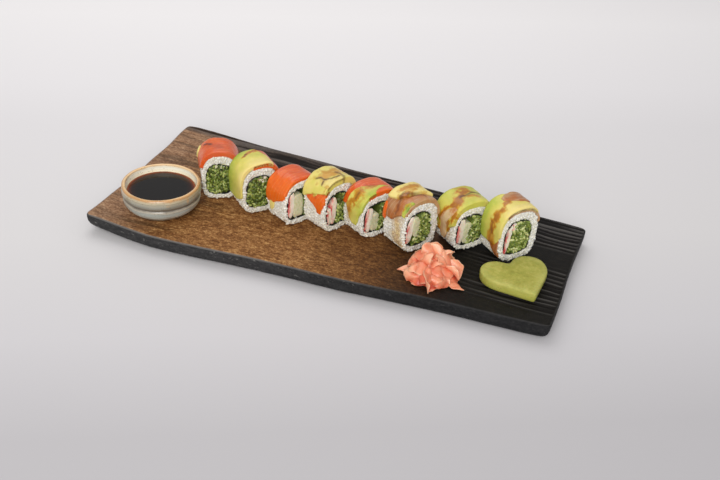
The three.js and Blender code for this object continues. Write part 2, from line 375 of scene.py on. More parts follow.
def scatter_recipe(name):
    """Small stubby bodies, such as grains or shreds, strewn over the faces marked bare."""
    sizes = dict.fromkeys(("Length", "Width", "Spacing", "Tilt", "Sink"), "Float")
    recipe = Recipe(name, **sizes, Seed="Int", Finish="Material")
    given, out = recipe.given.outputs, recipe.out
    bare = out("GeometryNodeInputNamedAttribute", "Attribute", {"data_type": "FLOAT"}, {"Name": "bare"})
    strewn = add_node(
        recipe.tree, "GeometryNodeDistributePointsOnFaces", {"distribute_method": "POISSON"},
        {
            "Mesh": given["Geometry"], "Distance Min": given["Spacing"], "Density Max": SCATTER_DENSITY,
            "Density Factor": bare, "Seed": given["Seed"],
        },
    ).outputs
    thick = {"X": given["Length"], "Y": given["Width"], "Z": given["Width"]}
    size = out("ShaderNodeCombineXYZ", "Vector", None, thick)
    ball = out("GeometryNodeMeshUVSphere", "Mesh", None, {"Segments": 6, "Rings": 5, "Radius": 0.5})
    body = out("GeometryNodeTransform", "Geometry", None, {"Geometry": ball, "Scale": size})
    turns = {"Min": (0, -1, -math.pi), "Max": (0, 1, math.pi), "Seed": given["Seed"]}
    turned = out("FunctionNodeRandomValue", "Value", {"data_type": "FLOAT_VECTOR"}, turns)
    parts = add_node(recipe.tree, "ShaderNodeSeparateXYZ", None, {"Vector": turned}).outputs
    leaning = out("ShaderNodeMath", "Value", {"operation": "MULTIPLY"}, {0: parts["Y"], 1: given["Tilt"]})
    spun = out("ShaderNodeCombineXYZ", "Vector", None, {"X": 0.0, "Y": leaning, "Z": parts["Z"]})
    spin = out("FunctionNodeEulerToRotation", "Rotation", None, {"Euler": spun})
    both = {"Rotation": strewn["Rotation"], "Rotate By": spin}
    lay = out("FunctionNodeRotateRotation", "Rotation", {"rotation_space": "LOCAL"}, both)
    spread = {"Min": (0.75, 0.8, 0.8), "Max": (1.2, 1.15, 1.15), "Seed": 7}
    scale = out("FunctionNodeRandomValue", "Value", {"data_type": "FLOAT_VECTOR"}, spread)
    laid = {"Points": strewn["Points"], "Instance": body, "Rotation": lay, "Scale": scale}
    placed = out("GeometryNodeInstanceOnPoints", "Instances", None, laid)
    down = out("ShaderNodeCombineXYZ", "Vector", None, {"X": 0.0, "Y": 0.0, "Z": given["Sink"]})
    sunk = {"Instances": placed, "Translation": down}
    settled = out("GeometryNodeTranslateInstances", "Instances", None, sunk)
    chance = out("FunctionNodeRandomValue", 1, {"data_type": "FLOAT"}, {"Seed": 11})
    shaded = out(
        "GeometryNodeStoreNamedAttribute", "Geometry", {"data_type": "FLOAT", "domain": "INSTANCE"},
        {"Geometry": settled, "Name": "shade", "Value": chance},
    )
    real = out("GeometryNodeRealizeInstances", "Geometry", None, {"Geometry": shaded})
    joined = add_node(recipe.tree, "GeometryNodeJoinGeometry")
    for part in (real, given["Geometry"]):
        recipe.tree.links.new(part, joined.inputs["Geometry"])
    smooth = out("GeometryNodeSetShadeSmooth", "Geometry", None, {"Geometry": joined.outputs["Geometry"]})
    dressed = {"Geometry": smooth, "Material": given["Finish"]}
    finished = out("GeometryNodeSetMaterial", "Geometry", None, dressed)
    recipe.tree.links.new(finished, recipe.result.inputs["Geometry"])
    return recipe


# ---------------------------------------------------------------- the board

BOARD_LENGTH = 400
BOARD_DEPTH = 181.5
BOARD_TOP = 15
FRONT_LEFT_Y = -32
FRONT_TAPER_START = 0.16
BACK_Y = 149.5
BACK_FLARE = 5.5
LEFT_X = 10.6
LEFT_LEAN = 11.6
CORNER_POWER = 60
CORNER_RISE = 2.5
BOW_RISE = 1.5
BOARD_STEPS = (210, 190)
BOARD_MIDDLE = np.array([205.0, 62.0])
TOP_INSET = 1.1
CURL_WIDTH = 17
RIDGE_SPACING = 5.7
CHIP_DEPTH = 0.25

# The board's side and foot from the top down: inset from the edge, height, rise of the left end's underside,
# and curl of the front left corner.
RIM_LAYERS = [
    (0.35, 14.45, 0, CORNER_RISE), (0.0, 13.4, 0, CORNER_RISE), (0.0, 11.0, 0, CORNER_RISE),
    (0.3, 7.0, 0.5 * BOW_RISE, CORNER_RISE), (1.1, 4.0, BOW_RISE, CORNER_RISE),
    (2.3, 2.3, BOW_RISE, CORNER_RISE), (4.5, 1.8, BOW_RISE, CORNER_RISE), (17.6, 1.6, 0, 0),
    (18.2, 0.4, 0, 0), (19.0, 0.0, 0, 0),
]
CHIPPED_LAYERS = range(1, 7)


def board_place(u, v, inset, height, rise, corner_rise):
    """Points of the board, u and v from -1 to 1 over its plan, in the board's own millimetres.

    With them comes how far across the board they lie, from 0 to 1.
    """
    along = 0.5 + 0.5 * u * (1 - 2 * inset / BOARD_LENGTH)
    across = 0.5 + 0.5 * v * (1 - 2 * inset / BOARD_DEPTH)
    left = LEFT_X - LEFT_LEAN * np.clip(across, 0, 1) ** 1.6 + 0.5 * np.sin(19 * across)
    right = BOARD_LENGTH + 0.5 * np.sin(8 * across)
    taper = np.maximum(0, along - FRONT_TAPER_START) / (1 - FRONT_TAPER_START)
    front = FRONT_LEFT_Y * (1 - taper) + 0.7 * np.sin(17 * along + 1)
    back = BACK_Y + BACK_FLARE * np.exp(-((along / 0.2) ** 2)) + 0.4 * np.sin(23 * along)
    bow = rise * np.exp(-((along / 0.06) ** 2))
    curl = corner_rise * np.exp(-((along / 0.08) ** 2) - (across / 0.22) ** 2)
    x = left + (right - left) * along
    y = front + (back - front) * across
    return np.stack([x, y, height + bow + curl + 0 * x], -1), across


def ridged(x, across):
    """How strongly the wood-grain ridges stand, 0 to 1, and where the grey back band is."""
    wander = waves(31, x / 45, across * 9)
    band = 0.945 - 0.20 * ease(x, 30, 150) + 0.02 * wander
    back = ease(across, band - 0.03, band + 0.02)
    right = ease(x + 14 * wander, 300, 372) * (
        ease(across, 0.07, 0.13) * (1 - ease(across, 0.46, 0.54)) + ease(across, 0.66, 0.74)
    )
    left = 1 - ease(x + 26 * wander, 62, 122)
    left = left * (0.5 + 0.5 * ease(waves(33, x / 30, across * 6), -0.5, 0.4))
    ridge = np.maximum(np.maximum(back, right), 0.6 * left)
    return np.clip(ridge, 0, 1), back


def make_board():
    """The whole board, ridged on top, and the shift from its own place to the frame's."""
    steps_x, steps_y = BOARD_STEPS
    a = np.linspace(-1, 1, steps_x + 1)[:, None] + np.zeros((1, steps_y + 1))
    b = np.linspace(-1, 1, steps_y + 1)[None, :] + np.zeros((steps_x + 1, 1))
    reach = np.maximum(np.abs(a), np.abs(b))
    bulge = (np.abs(a) ** CORNER_POWER + np.abs(b) ** CORNER_POWER) ** (1 / CORNER_POWER)
    squared = reach / np.maximum(bulge, 1e-9)
    u, v = a * squared, b * squared
    top, across = board_place(u, v, TOP_INSET, BOARD_TOP, 0, CORNER_RISE)
    inward = np.minimum((1 - np.abs(u)) * BOARD_LENGTH / 2, (1 - np.abs(v)) * BOARD_DEPTH / 2)
    flat_z = BOARD_TOP + (top[..., 2] - BOARD_TOP) * (1 - ease(inward, 0, CURL_WIDTH))
    x, y = top[..., 0], top[..., 1]
    strength, band = ridged(x, across)
    drift = y + 2.6 * waves(41, x / 38, y / 24)
    broad = waves(42, x / 60, drift / 3.3)
    fine = waves(43, x / 24, drift / 1.5)
    combed = 0.5 + 0.5 * np.sin(FULL_TURN * (drift + 1.1 * broad) / RIDGE_SPACING)
    even = 0.3 + 0.7 * ease(x, 90, 260)
    crest = 0.12 + 0.38 * (1 - even) + 0.72 * even * combed**1.3
    crest = np.clip(crest + (0.75 - 0.5 * even) * broad + 0.22 * fine, 0, 1)
    edge = ease(inward, 0.0, 1.2)
    relief = strength * (1.9 * crest - 1.5) * edge
    relief += 0.09 * waves(44, x / 6, y / 4) * edge + 0.05 * waves(45, x / 2.4, y / 2)
    top[..., 2] = flat_z + relief

    rim = [(i, 0) for i in range(steps_x)]
    rim += [(steps_x, j) for j in range(steps_y)]
    rim += [(i, steps_y) for i in range(steps_x, 0, -1)]
    rim += [(0, j) for j in range(steps_y, 0, -1)]
    rim_i, rim_j = np.array(rim).T
    rim_u, rim_v = u[rim_i, rim_j], v[rim_i, rim_j]
    rings = []
    for number, layer in enumerate(RIM_LAYERS):
        ring = board_place(rim_u, rim_v, *layer)[0]
        if number in CHIPPED_LAYERS:
            chip = waves(50, ring[:, 0] / 9, ring[:, 1] / 9)
            chip = chip + 0.5 * waves(51, ring[:, 0] / 3, ring[:, 1] / 3)
            away = ring[:, :2] - BOARD_MIDDLE
            away /= np.linalg.norm(away, axis=1)[:, None]
            ring[:, :2] += away * (CHIP_DEPTH * chip * math.sin(number))[:, None]
        rings.append(ring)
    rings = np.array(rings)

    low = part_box("board")[0]
    shift = np.array([low.x / MM - rings[..., 0].min(), low.y / MM - rings[..., 1].min(), 0])
    shell = Shell("crest", "strength", "band", "side")
    top_count = top.shape[0] * top.shape[1]
    rim_top = rim_i * top.shape[1] + rim_j
    side_count = rings.shape[0] * rings.shape[1]
    faces = net(*top.shape[:2])
    edge_count = rings.shape[1]
    for here in range(edge_count):
        after = (here + 1) % edge_count
        faces.append([int(rim_top[here]), int(rim_top[after]), top_count + after, top_count + here])
    faces += net(rings.shape[0], edge_count, top_count, False, True)
    faces.append(list(range(top_count + side_count - edge_count, top_count + side_count))[::-1])
    points = np.concatenate([top.reshape(-1, 3), rings.reshape(-1, 3)])
    depth = np.array([0.55] + [1.0] * (len(RIM_LAYERS) - 1))[:, None] + np.zeros((1, edge_count))
    shell.add(
        (points + shift) * MM, faces, crest=np.concatenate([crest.ravel(), np.full(side_count, 0.5)]),
        strength=np.concatenate([(strength * edge).ravel(), np.zeros(side_count)]),
        band=np.concatenate([band.ravel(), np.zeros(side_count)]),
        side=np.concatenate([0.35 * (1 - ease(inward, 0, 0.8)).ravel(), depth.ravel()]),
    )
    return shell, shift


def board_finish():
    """Fired stoneware: brown speckled glaze that fades to black, ash grey along the back, bare sides."""
    finish = Finish("stoneware board", Specular_IOR_Level=0.14)
    x = finish.axis("X")
    crest, strength, band, side = finish.marks("crest", "strength", "band", "side")
    grain = finish.noise(300, 4, 0.7, (0.32, 1, 1))
    speck = finish.noise(640, 3, 0.8, (0.7, 1, 1))
    cloud = finish.noise(15, 3, 0.55)
    flake = 1 - finish.cells(300, (0.5, 1, 1)).above(0.02, 0.36)
    mottle = (grain - 0.5) * 1.1 + (speck - 0.5) * 1.7 + 0.5

    brown = finish.ramp(
        mottle, (0.10, 78, 44, 20), (0.38, 118, 76, 40), (0.62, 156, 110, 64), (0.90, 202, 160, 104),
    )
    dull = finish.ramp(mottle, (0.15, 56, 30, 12), (0.55, 100, 64, 32), (0.9, 140, 96, 52))
    ashen = finish.ramp(mottle, (0.1, 100, 70, 50), (0.5, 156, 120, 92), (0.9, 192, 160, 132))
    far_left = 1 - x.above(-0.175, -0.125)
    brown = finish.mix(far_left * 0.85, brown, ashen)
    brown = finish.mix(cloud.above(0.48, 0.7) * 0.4, brown, dull)
    black = finish.ramp(mottle, (0.2, 9, 8, 6), (0.8, 28, 25, 21))
    shift = x + (cloud - 0.5) * 0.05
    top = finish.mix(shift.above(0.0, 0.07), brown, dull)
    top = finish.mix(shift.above(0.05, 0.12), top, black)
    grey = finish.ramp(mottle * 0.3 + crest * 0.7, (0.25, 26, 25, 25), (0.8, 92, 89, 87))
    dim_grey = finish.ramp(mottle * 0.3 + crest * 0.7, (0.3, 16, 15, 14), (0.85, 74, 71, 69))
    top = finish.mix(
        band * (1 - far_left * 0.25) * 0.9, top, finish.mix(shift.above(0.03, 0.12), grey, dim_grey),
    )
    ridge_lit = strength * crest.above(0.55, 0.95) * shift.above(0.05, 0.11)
    top = finish.mix(ridge_lit * 0.75, top, paint(84, 81, 78))
    top = finish.mix(strength * (1 - crest).above(0.45, 0.85) * 0.85, top, paint(16, 12, 10))
    bare_side = finish.ramp(mottle, (0.2, 38, 38, 39), (0.8, 62, 61, 61))
    bare_side = finish.mix(flake * speck.above(0.52, 0.6) * 0.7, bare_side, paint(150, 148, 142))
    char_side = finish.ramp(mottle, (0.2, 16, 16, 17), (0.8, 36, 36, 37))
    bare_side = finish.mix(shift.above(-0.06, 0.1) * 0.85, bare_side, char_side)
    lit_arris = side.above(0.2, 0.4) * (1 - side.above(0.6, 0.95))
    colour = finish.mix(side.above(0.3, 0.5), top, bare_side)
    arris_share = lit_arris * (1 - shift.above(-0.05, 0.1) * 0.9)
    colour = finish.mix(arris_share * 0.5, colour, paint(128, 124, 120))
    finish.wear(Base_Color=colour, Roughness=0.5 + speck * 0.2)
    finish.bump(mottle, 0.0004, 0.6)
    return finish


board_shell, board_shift = make_board()
board = board_shell.piece("board_top_and_foot", board_finish(), 50)
serve(board, "stoneware", "board")


# ---------------------------------------------------------------- the dish and its soy

DISH_HEIGHT = 23.5
DISH_FLOOR = 5
DISH_HOLLOW = 29.6
SOY_LEVEL = 16.9
SOY_BOTTOM = [(1.0, 6.2, 1), (14, 6.3, 1)]
SOY_CREEP = 0.25
TOUCH_GAP = 0.3

# The dish's outside as (radius, height), from under its middle to the top of its rim.
DISH_OUTSIDE = [
    (6, 0.9), (20, 0.8), (23, 0.1), (24.5, 0.0), (25.4, 0.7), (27.2, 2.2), (30.5, 5.5), (32.1, 9.0),
    (32.3, 11.2), (31.7, 12.4), (31.5, 13.2), (32.2, 14.4), (33.0, 15.6), (33.0, 19.5), (32.7, 22.2),
    (32.0, 23.2), (31.1, 23.5),
]


def dish_inner_radius(height):
    """The hollow's radius at a height above the board."""
    share = np.maximum(0, (height - DISH_FLOOR) / (DISH_HEIGHT - DISH_FLOOR)) ** 0.6
    return DISH_HOLLOW * np.sin((0.28 + 0.72 * share) * math.pi / 2)


def smooth_line(points, steps):
    """A soft curve through points, steps between each pair."""
    points = np.array([points[0], *points, points[-1]], float)
    line = []
    for a, b, c, d in zip(points, points[1:], points[2:], points[3:]):
        for step in range(steps):
            t = step / steps
            bend = (2 * a - 5 * b + 4 * c - d) * t**2 + (3 * b - a - 3 * c + d) * t**3
            line.append(0.5 * (2 * b + (c - a) * t + bend))
    line.append(points[-1])
    return np.array(line)


def make_dish():
    """The thrown dish, a little out of round, and the middle of its foot in the frame's millimetres."""
    middle = foot_of("dish")
    inner = [(dish_inner_radius(h) + 0.2, h) for h in (22.9, 21.5, 19.0, 16.0, 12.5, 9.5, 7.2, 5.9)]
    inner += [(14, 5.1), (4, 5.0)]
    line = smooth_line(DISH_OUTSIDE + inner, 4)
    angle = np.linspace(0, FULL_TURN, 160, endpoint=False)
    radius = line[:, :1] * (1 + 0.005 * np.sin(2 * angle + 0.6) + 0.003 * np.sin(3 * angle))
    height = line[:, 1:] + 0 * angle
    throwing = 0.10 * np.sin(line[:, 1:] * 3.1 + 0.6 * angle)
    throwing = throwing + 0.18 * waves(61, height / 4, angle / FULL_TURN * WAVE_PERIOD)
    radius = radius + throwing * (line[:, :1] > 22)
    sway = 0.22 * np.sin(angle + 1.0) * ease(height, 8, 23)
    rings = around(radius, angle, height + sway)
    inside = np.zeros(len(line))
    lip = len(DISH_OUTSIDE) * 4 - 2
    inside[lip:] = 1
    inside[lip - 4 : lip] = (0.2, 0.4, 0.6, 0.8)
    shell = Shell("inside", "height")
    shell.lathe((rings + middle) * MM, inside=inside[:, None], height=height / DISH_HEIGHT)
    return shell, middle


def dish_finish():
    """Celadon over buff clay, iron orange where the glaze breaks at the rim, cream inside."""
    finish = Finish("dish glaze", Specular_IOR_Level=0.5, Coat_Roughness=0.12)
    height, inside = finish.marks("height", "inside")
    cloud = finish.noise(70, 4, 0.6)
    streak = finish.noise(150, 4, 0.6, (1, 1, 0.4))
    speck = finish.noise(700, 2, 0.6)
    uneven = height + (cloud - 0.5) * 0.10 + (streak - 0.5) * 0.05
    outside = finish.ramp(
        uneven, (0.00, 150, 136, 112), (0.10, 178, 174, 158), (0.24, 196, 198, 188), (0.40, 170, 178, 172),
        (0.49, 176, 166, 148), (0.545, 98, 92, 84), (0.60, 120, 110, 94), (0.70, 140, 138, 126),
        (0.80, 166, 160, 140), (0.91, 194, 180, 148), (0.965, 186, 138, 88), (1.00, 212, 166, 110),
    )
    splash = cloud.above(0.56, 0.66) * height.above(0.55, 0.8) * (1 - height.above(0.86, 0.95))
    outside = finish.mix(splash * 0.8, outside, paint(206, 152, 88))
    crawl = streak.above(0.60, 0.70) * (1 - height.above(0.5, 0.7)) * 0.5
    outside = finish.mix(crawl, outside, paint(140, 130, 112))
    rim = finish.ramp(cloud, (0.38, 180, 120, 62), (0.56, 214, 168, 108), (0.68, 240, 214, 170))
    cream = finish.ramp(
        height + (cloud - 0.5) * 0.12, (0.62, 216, 184, 130), (0.72, 254, 244, 212), (0.90, 255, 252, 234),
        (0.97, 232, 196, 146),
    )
    colour = finish.mix(inside.above(0.1, 0.4), outside, rim)
    colour = finish.mix(inside.above(0.45, 0.8), colour, cream)
    ring = (height * 47 + (cloud - 0.5) * 3).sine().above(0.8, 1.0) * (1 - height.above(0.86, 0.92))
    colour = finish.coats(
        colour, (ring * (1 - inside.above(0.0, 0.1)) * 0.55, 104, 96, 84),
        (speck.above(0.64, 0.70) * 0.6, 86, 70, 56),
    )
    finish.wear(Base_Color=colour, Roughness=0.2 + streak * 0.22, Coat_Weight=0.35)
    finish.bump(cloud * 0.5 + streak * 0.5, 0.0005, 0.5)
    return finish


def soy_finish():
    """Soy sauce: near black, red brown where it thins against the dish."""
    finish = Finish("soy sauce", Specular_IOR_Level=0.33)
    (edge,) = finish.marks("edge")
    swirl = finish.noise(60, 2, 0.5)
    colour = finish.ramp(
        edge + (swirl - 0.5) * 0.05, (0.72, 9, 6, 5), (0.86, 34, 12, 5), (0.94, 84, 32, 10),
        (0.98, 138, 64, 24), (1.00, 150, 84, 44),
    )
    finish.wear(Base_Color=colour, Roughness=0.07 + swirl * 0.04)
    return finish


def make_soy(middle):
    """The soy as a solid that fills the hollow to its level and creeps up a little at its edge."""
    angle = np.linspace(0, FULL_TURN, 128, endpoint=False)
    top_radius = dish_inner_radius(SOY_LEVEL) - 0.05
    line = [*SOY_BOTTOM]
    line += [(dish_inner_radius(h) - TOUCH_GAP, h, 1) for h in (7.5, 9.5, 12, 14.5, 16.4)]
    line += [(top_radius, SOY_LEVEL + SOY_CREEP, 1.0)]
    for share in (0.992, 0.975, 0.95, 0.9, 0.8, 0.65, 0.45, 0.25, 0.05):
        creep = SOY_CREEP * math.exp(-(1 - share) / 0.02)
        line.append((top_radius * share, SOY_LEVEL + creep, share))
    line = np.array(line)
    ripple = 0.02 * waves(71, line[:, :1] / 7 + 0 * angle, angle / FULL_TURN * WAVE_PERIOD)
    rings = around(line[:, :1], angle, line[:, 1:2] + ripple)
    shell = Shell("edge")
    shell.lathe((rings + middle) * MM, edge=line[:, 2:])
    return shell


dish_shell, dish_middle = make_dish()
serve(dish_shell.piece("sauce_dish", dish_finish(), 60), "dish_glaze", "dish")
serve(make_soy(dish_middle).piece("soy_in_dish", soy_finish(), 60), "soy", "soy")


# ---------------------------------------------------------------- the rolls' finishes


def rice_finish():
    """Cooked rice, ivory to white from grain to grain, golden where sauce has soaked in."""
    finish = moist("sushi rice", 0.5, 0.35, 0.003, (1.0, 0.85, 0.65))
    shade, soak = finish.marks("shade", "stain")
    cloud = finish.noise(240, 3, 0.6)
    colour = finish.ramp(
        shade * 0.6 + cloud * 0.5, (0.15, 226, 219, 198), (0.5, 242, 237, 219), (0.9, 251, 248, 238),
    )
    golden = finish.ramp(cloud, (0.35, 186, 128, 52), (0.65, 226, 194, 128))
    colour = finish.mix(soak * (0.55 + cloud * 0.5), colour, golden)
    finish.wear(Base_Color=colour, Roughness=0.34 + cloud * 0.2)
    finish.bump(cloud, 0.0003, 0.4)
    return finish


def nori_finish():
    """Pressed seaweed, near black with a green cast."""
    finish = Finish("nori", Specular_IOR_Level=0.4)
    cloud = finish.noise(500, 3, 0.6)
    colour = finish.ramp(cloud, (0.3, 16, 18, 14), (0.7, 44, 46, 36))
    finish.wear(Base_Color=colour, Roughness=0.5)
    finish.bump(cloud, 0.0003, 0.6)
    return finish


def cucumber_finish():
    """Shredded cucumber, with painted shade that makes it a little darker towards the dish's end of the row.
    """
    finish = moist("cucumber shreds", 0.5, 0.12, 0.002)
    (shade,) = finish.marks("shade")
    cloud = finish.noise(420, 3, 0.6)
    # The X term is painted shade: the shreds darken towards the left of the row, the dish's end.
    colour = finish.ramp(
        shade * 0.75 + cloud * 0.35 + finish.axis("X") * 0.6, (0.16, 66, 76, 28), (0.36, 90, 106, 38),
        (0.58, 122, 138, 56), (0.80, 162, 174, 92), (0.97, 210, 212, 150),
    )
    finish.wear(Base_Color=colour, Roughness=0.25 + cloud * 0.2)
    finish.bump(cloud, 0.0003, 0.5)
    return finish


def crab_finish():
    """Crab stick, white in the middle and red at its skin, or a pale fish stick where cream is 1."""
    finish = moist("crab stick", 0.45, 0.15, 0.002)
    blush, cream = finish.marks("blush", "cream")
    fibre = finish.noise(700, 3, 0.6, (1, 1, 0.5))
    colour = finish.ramp(
        blush + (fibre - 0.5) * 0.7, (0.38, 240, 228, 210), (0.62, 236, 188, 172), (0.84, 222, 122, 114),
        (0.98, 198, 70, 72),
    )
    pale = finish.ramp(fibre, (0.3, 196, 196, 150), (0.7, 226, 222, 190))
    colour = finish.mix(cream, colour, pale)
    finish.wear(Base_Color=colour, Roughness=0.38)
    finish.bump(fibre, 0.0004, 0.6)
    return finish


def salmon_finish():
    """Raw salmon: orange where thin and in the light, pinker on top, with pale lines of fat."""
    finish = moist("salmon", 0.5, 0.2, 0.003, (1.0, 0.35, 0.2), Coat_Roughness=0.15)
    run, tone, stain, char = finish.marks("run", "tone", "stain", "char")
    cloud = finish.noise(110, 3, 0.55)
    fine = finish.noise(500, 3, 0.6)
    fat = ((run + cloud * 2.6) * 1.45).sine()
    lines = fat.above(0.62, 0.98) * fine.above(0.32, 0.6)
    flesh = finish.ramp(
        tone + (cloud - 0.5) * 0.5, (0.15, 230, 102, 8), (0.5, 216, 84, 14), (0.85, 210, 96, 52),
    )
    colour = finish.coats(
        flesh, (lines * (0.18 + tone.held() * 0.25), 246, 172, 110),
        (fat.above(0.5, 1.0) * cloud.above(0.45, 0.6) * 0.2, 196, 44, 14), (stain * 0.75, 150, 52, 14),
        (char * 0.85, 64, 16, 8),
    )
    finish.wear(Base_Color=colour, Roughness=0.3 + fine * 0.2, Coat_Weight=0.2)
    finish.bump(fat * 0.3 + fine * 0.4, 0.0003, 0.4)
    return finish


def avocado_finish():
    """Avocado from its yellow middle to its green skin side, with amber and dark sauce on it."""
    finish = moist("avocado", 0.45, 0.15, 0.003, (0.9, 0.8, 0.3), Coat_Roughness=0.2)
    green, stain, char = finish.marks("tone", "stain", "char")
    cloud = finish.noise(120, 3, 0.55)
    fine = finish.noise(520, 3, 0.6)
    flesh = finish.ramp(
        green + (cloud - 0.5) * 0.45, (0.05, 234, 214, 132), (0.35, 218, 206, 104), (0.65, 196, 196, 84),
        (0.90, 164, 180, 64), (1.00, 124, 150, 46),
    )
    soak = finish.ramp(
        stain + (fine - 0.5) * 0.3, (0.2, 216, 178, 66), (0.6, 198, 136, 16), (0.97, 160, 88, 2),
    )
    rim = stain.above(0.12, 0.3) * (1 - stain.above(0.36, 0.6))
    soak = finish.mix(rim * fine.above(0.3, 0.6) * 0.55, soak, paint(140, 80, 10))
    colour = finish.mix(stain.above(0.0, 0.68) * 0.94, flesh, soak)
    colour = finish.mix(char * 0.9, colour, paint(66, 26, 2))
    finish.wear(
        Base_Color=colour, Roughness=0.36 + fine * 0.2 - stain * 0.1,
        Coat_Weight=stain.held() * 0.25 + 0.05,
    )
    finish.bump(fine * 0.6 + cloud * 0.4, 0.00035, 0.5)
    return finish


def white_fish_finish():
    """White fish seared brown at its edges, veined, with sauce on it."""
    finish = moist("seared white fish", 0.5, 0.2, 0.003, (1.0, 0.6, 0.4), Coat_Roughness=0.12)
    run, tone, stain, char = finish.marks("run", "tone", "stain", "char")
    cloud = finish.noise(130, 3, 0.6)
    fine = finish.noise(480, 3, 0.6)
    vein = ((run + cloud * 3.0) * 1.25).sine().above(0.5, 1.0)
    flesh = finish.ramp(
        tone + (cloud - 0.5) * 0.6, (0.15, 216, 188, 142), (0.5, 188, 146, 100), (0.85, 166, 106, 62),
    )
    colour = finish.coats(
        flesh, (vein * 0.22, 230, 206, 176), (stain * 0.8, 176, 94, 16), (char * 0.85, 90, 32, 8),
    )
    finish.wear(Base_Color=colour, Roughness=0.28 + fine * 0.2, Coat_Weight=0.18)
    finish.bump(vein * 0.3 + fine * 0.5, 0.0003, 0.4)
    return finish


RICE = rice_finish()
NORI = nori_finish()
CUCUMBER = cucumber_finish()
CRAB = crab_finish()
TOPPING_FINISH = {"salmon": salmon_finish(), "avocado": avocado_finish(), "white_fish": white_fish_finish()}
STREWN = scatter_recipe("Strewn grains and shreds")
GRAIN = dict(Length=4.8 * MM, Width=2.3 * MM, Spacing=1.75 * MM, Tilt=0.4, Sink=-0.6 * MM)
SHRED = dict(Length=5.4 * MM, Width=2.2 * MM, Spacing=1.35 * MM, Tilt=0.9, Sink=0.15 * MM)


# ---------------------------------------------------------------- the rolls

TOP_POWER = 2.6
LOWER_POWER = 3.4
CORE_WIDTH = 0.7
CORE_HEIGHT = 0.68
TOPPING_REACH = 4
CUCUMBER_GAP = 0.35
CUCUMBER_SPANS = (0.1, 0.3, 0.5, 0.7, 0.85, 0.94)
SLICE_STEPS = (96, 46)
SLICE_ROUNDING = 1.7


class Roll:
    """One uramaki roll: its place, its turn in degrees, and its rice's and filling's sizes in millimetres."""

    def __init__(self, number, turn, half_width, height, length, core_drop, core_side):
        self.number = number
        self.middle = foot_of(f"roll_{number}")
        self.turn = math.radians(turn)
        self.half_width = half_width
        self.height = height
        self.length = length
        self.reach = half_width + TOPPING_REACH
        self.core_drop = core_drop
        self.core_side = core_side

    def place(self, along, across, up):
        """Metres in the platter's frame, from along the roll, across it and up."""
        c, s = math.cos(self.turn), math.sin(self.turn)
        x = self.middle[0] + c * along - s * across
        y = self.middle[1] + s * along + c * across
        z = self.middle[2] + up + 0 * x
        return np.stack(np.broadcast_arrays(x, y, z), -1) * MM

    def skin(self, angle, out=0.0, width=1.0, height=1.0, drop=0.0):
        """Across and up, at an angle round the section and a distance out from it."""
        half = self.half_width * width
        tall = self.height / 2 * height
        c, s = np.cos(angle), np.sin(angle)
        power = np.where(s > 0, TOP_POWER, LOWER_POWER)
        across = half * np.sign(c) * np.abs(c) ** (2 / power)
        up = tall * np.sign(s) * np.abs(s) ** (2 / power)
        lean = power - 1
        nx = np.sign(across) * np.abs(across / half) ** lean / half
        nz = np.sign(up) * np.abs(up / tall) ** lean / tall
        long = np.hypot(nx, nz)
        across = across + out * nx / long
        up = up + out * nz / long + self.height / 2 - drop
        return across, up

    def bore(self, angle, out=0.0):
        """Across and up, round the hole in the rice that the filling lies in."""
        across, up = self.skin(angle, out, CORE_WIDTH, CORE_HEIGHT, self.core_drop)
        return across + self.core_side, up


def sauce_marks(roll, seed, strokes, round_mm, along):
    """How much thin and how much dark sauce lies at each point of a roll's outside."""
    thin, dark = 0 * along, 0 * along
    for what, points, wide, deep in strokes:
        line = np.array(points, float)
        best = np.full(np.shape(along), 1e9)
        for (a0, t0), (a1, t1) in zip(line, line[1:]):
            ax, ay = math.radians(a0) * roll.reach, t0 * roll.length / 2
            bx, by = math.radians(a1) * roll.reach, t1 * roll.length / 2
            dx, dy = bx - ax, by - ay
            k = np.clip(((round_mm - ax) * dx + (along - ay) * dy) / (dx * dx + dy * dy + 1e-9), 0, 1)
            best = np.minimum(best, np.hypot(round_mm - ax - k * dx, along - ay - k * dy))
        rough = 1.0 if what == "pool" else 0.45
        ragged = best + 0.7 * rough * wide * waves(seed, round_mm / 3.1, along / 3.1)
        ragged = ragged + 0.35 * rough * wide * waves(seed + 1, round_mm / 1.3, along / 1.3)
        mark = deep * (1 - ease(ragged, 0.0, (1.0 + 0.75 * rough) * wide))
        if what == "dark":
            dark = np.maximum(dark, mark)
        else:
            thin = np.maximum(thin, mark)
    return thin, dark


def inside_slice(roll, outline, degrees, t):
    """How far in from a slice's own edge a point lies, in millimetres; negative outside it."""
    table = np.array(outline, float)
    low = np.interp(degrees, table[:, 0], table[:, 1])
    high = np.interp(degrees, table[:, 0], table[:, 2])
    across = np.minimum(t - low, high - t) * roll.length / 2
    ends = np.minimum(degrees - table[0, 0], table[-1, 0] - degrees) * math.pi / 180 * roll.reach
    return np.minimum(across, ends)


# The rice at a cut, from the filling out: how far inside the roll's end, and share of the way to its skin.
RICE_CUT = [(0.5, 0.02), (0, 0.1), (0, 0.3), (0, 0.5), (0, 0.7), (0, 0.86), (0.5, 0.95), (1.4, 0.99)]


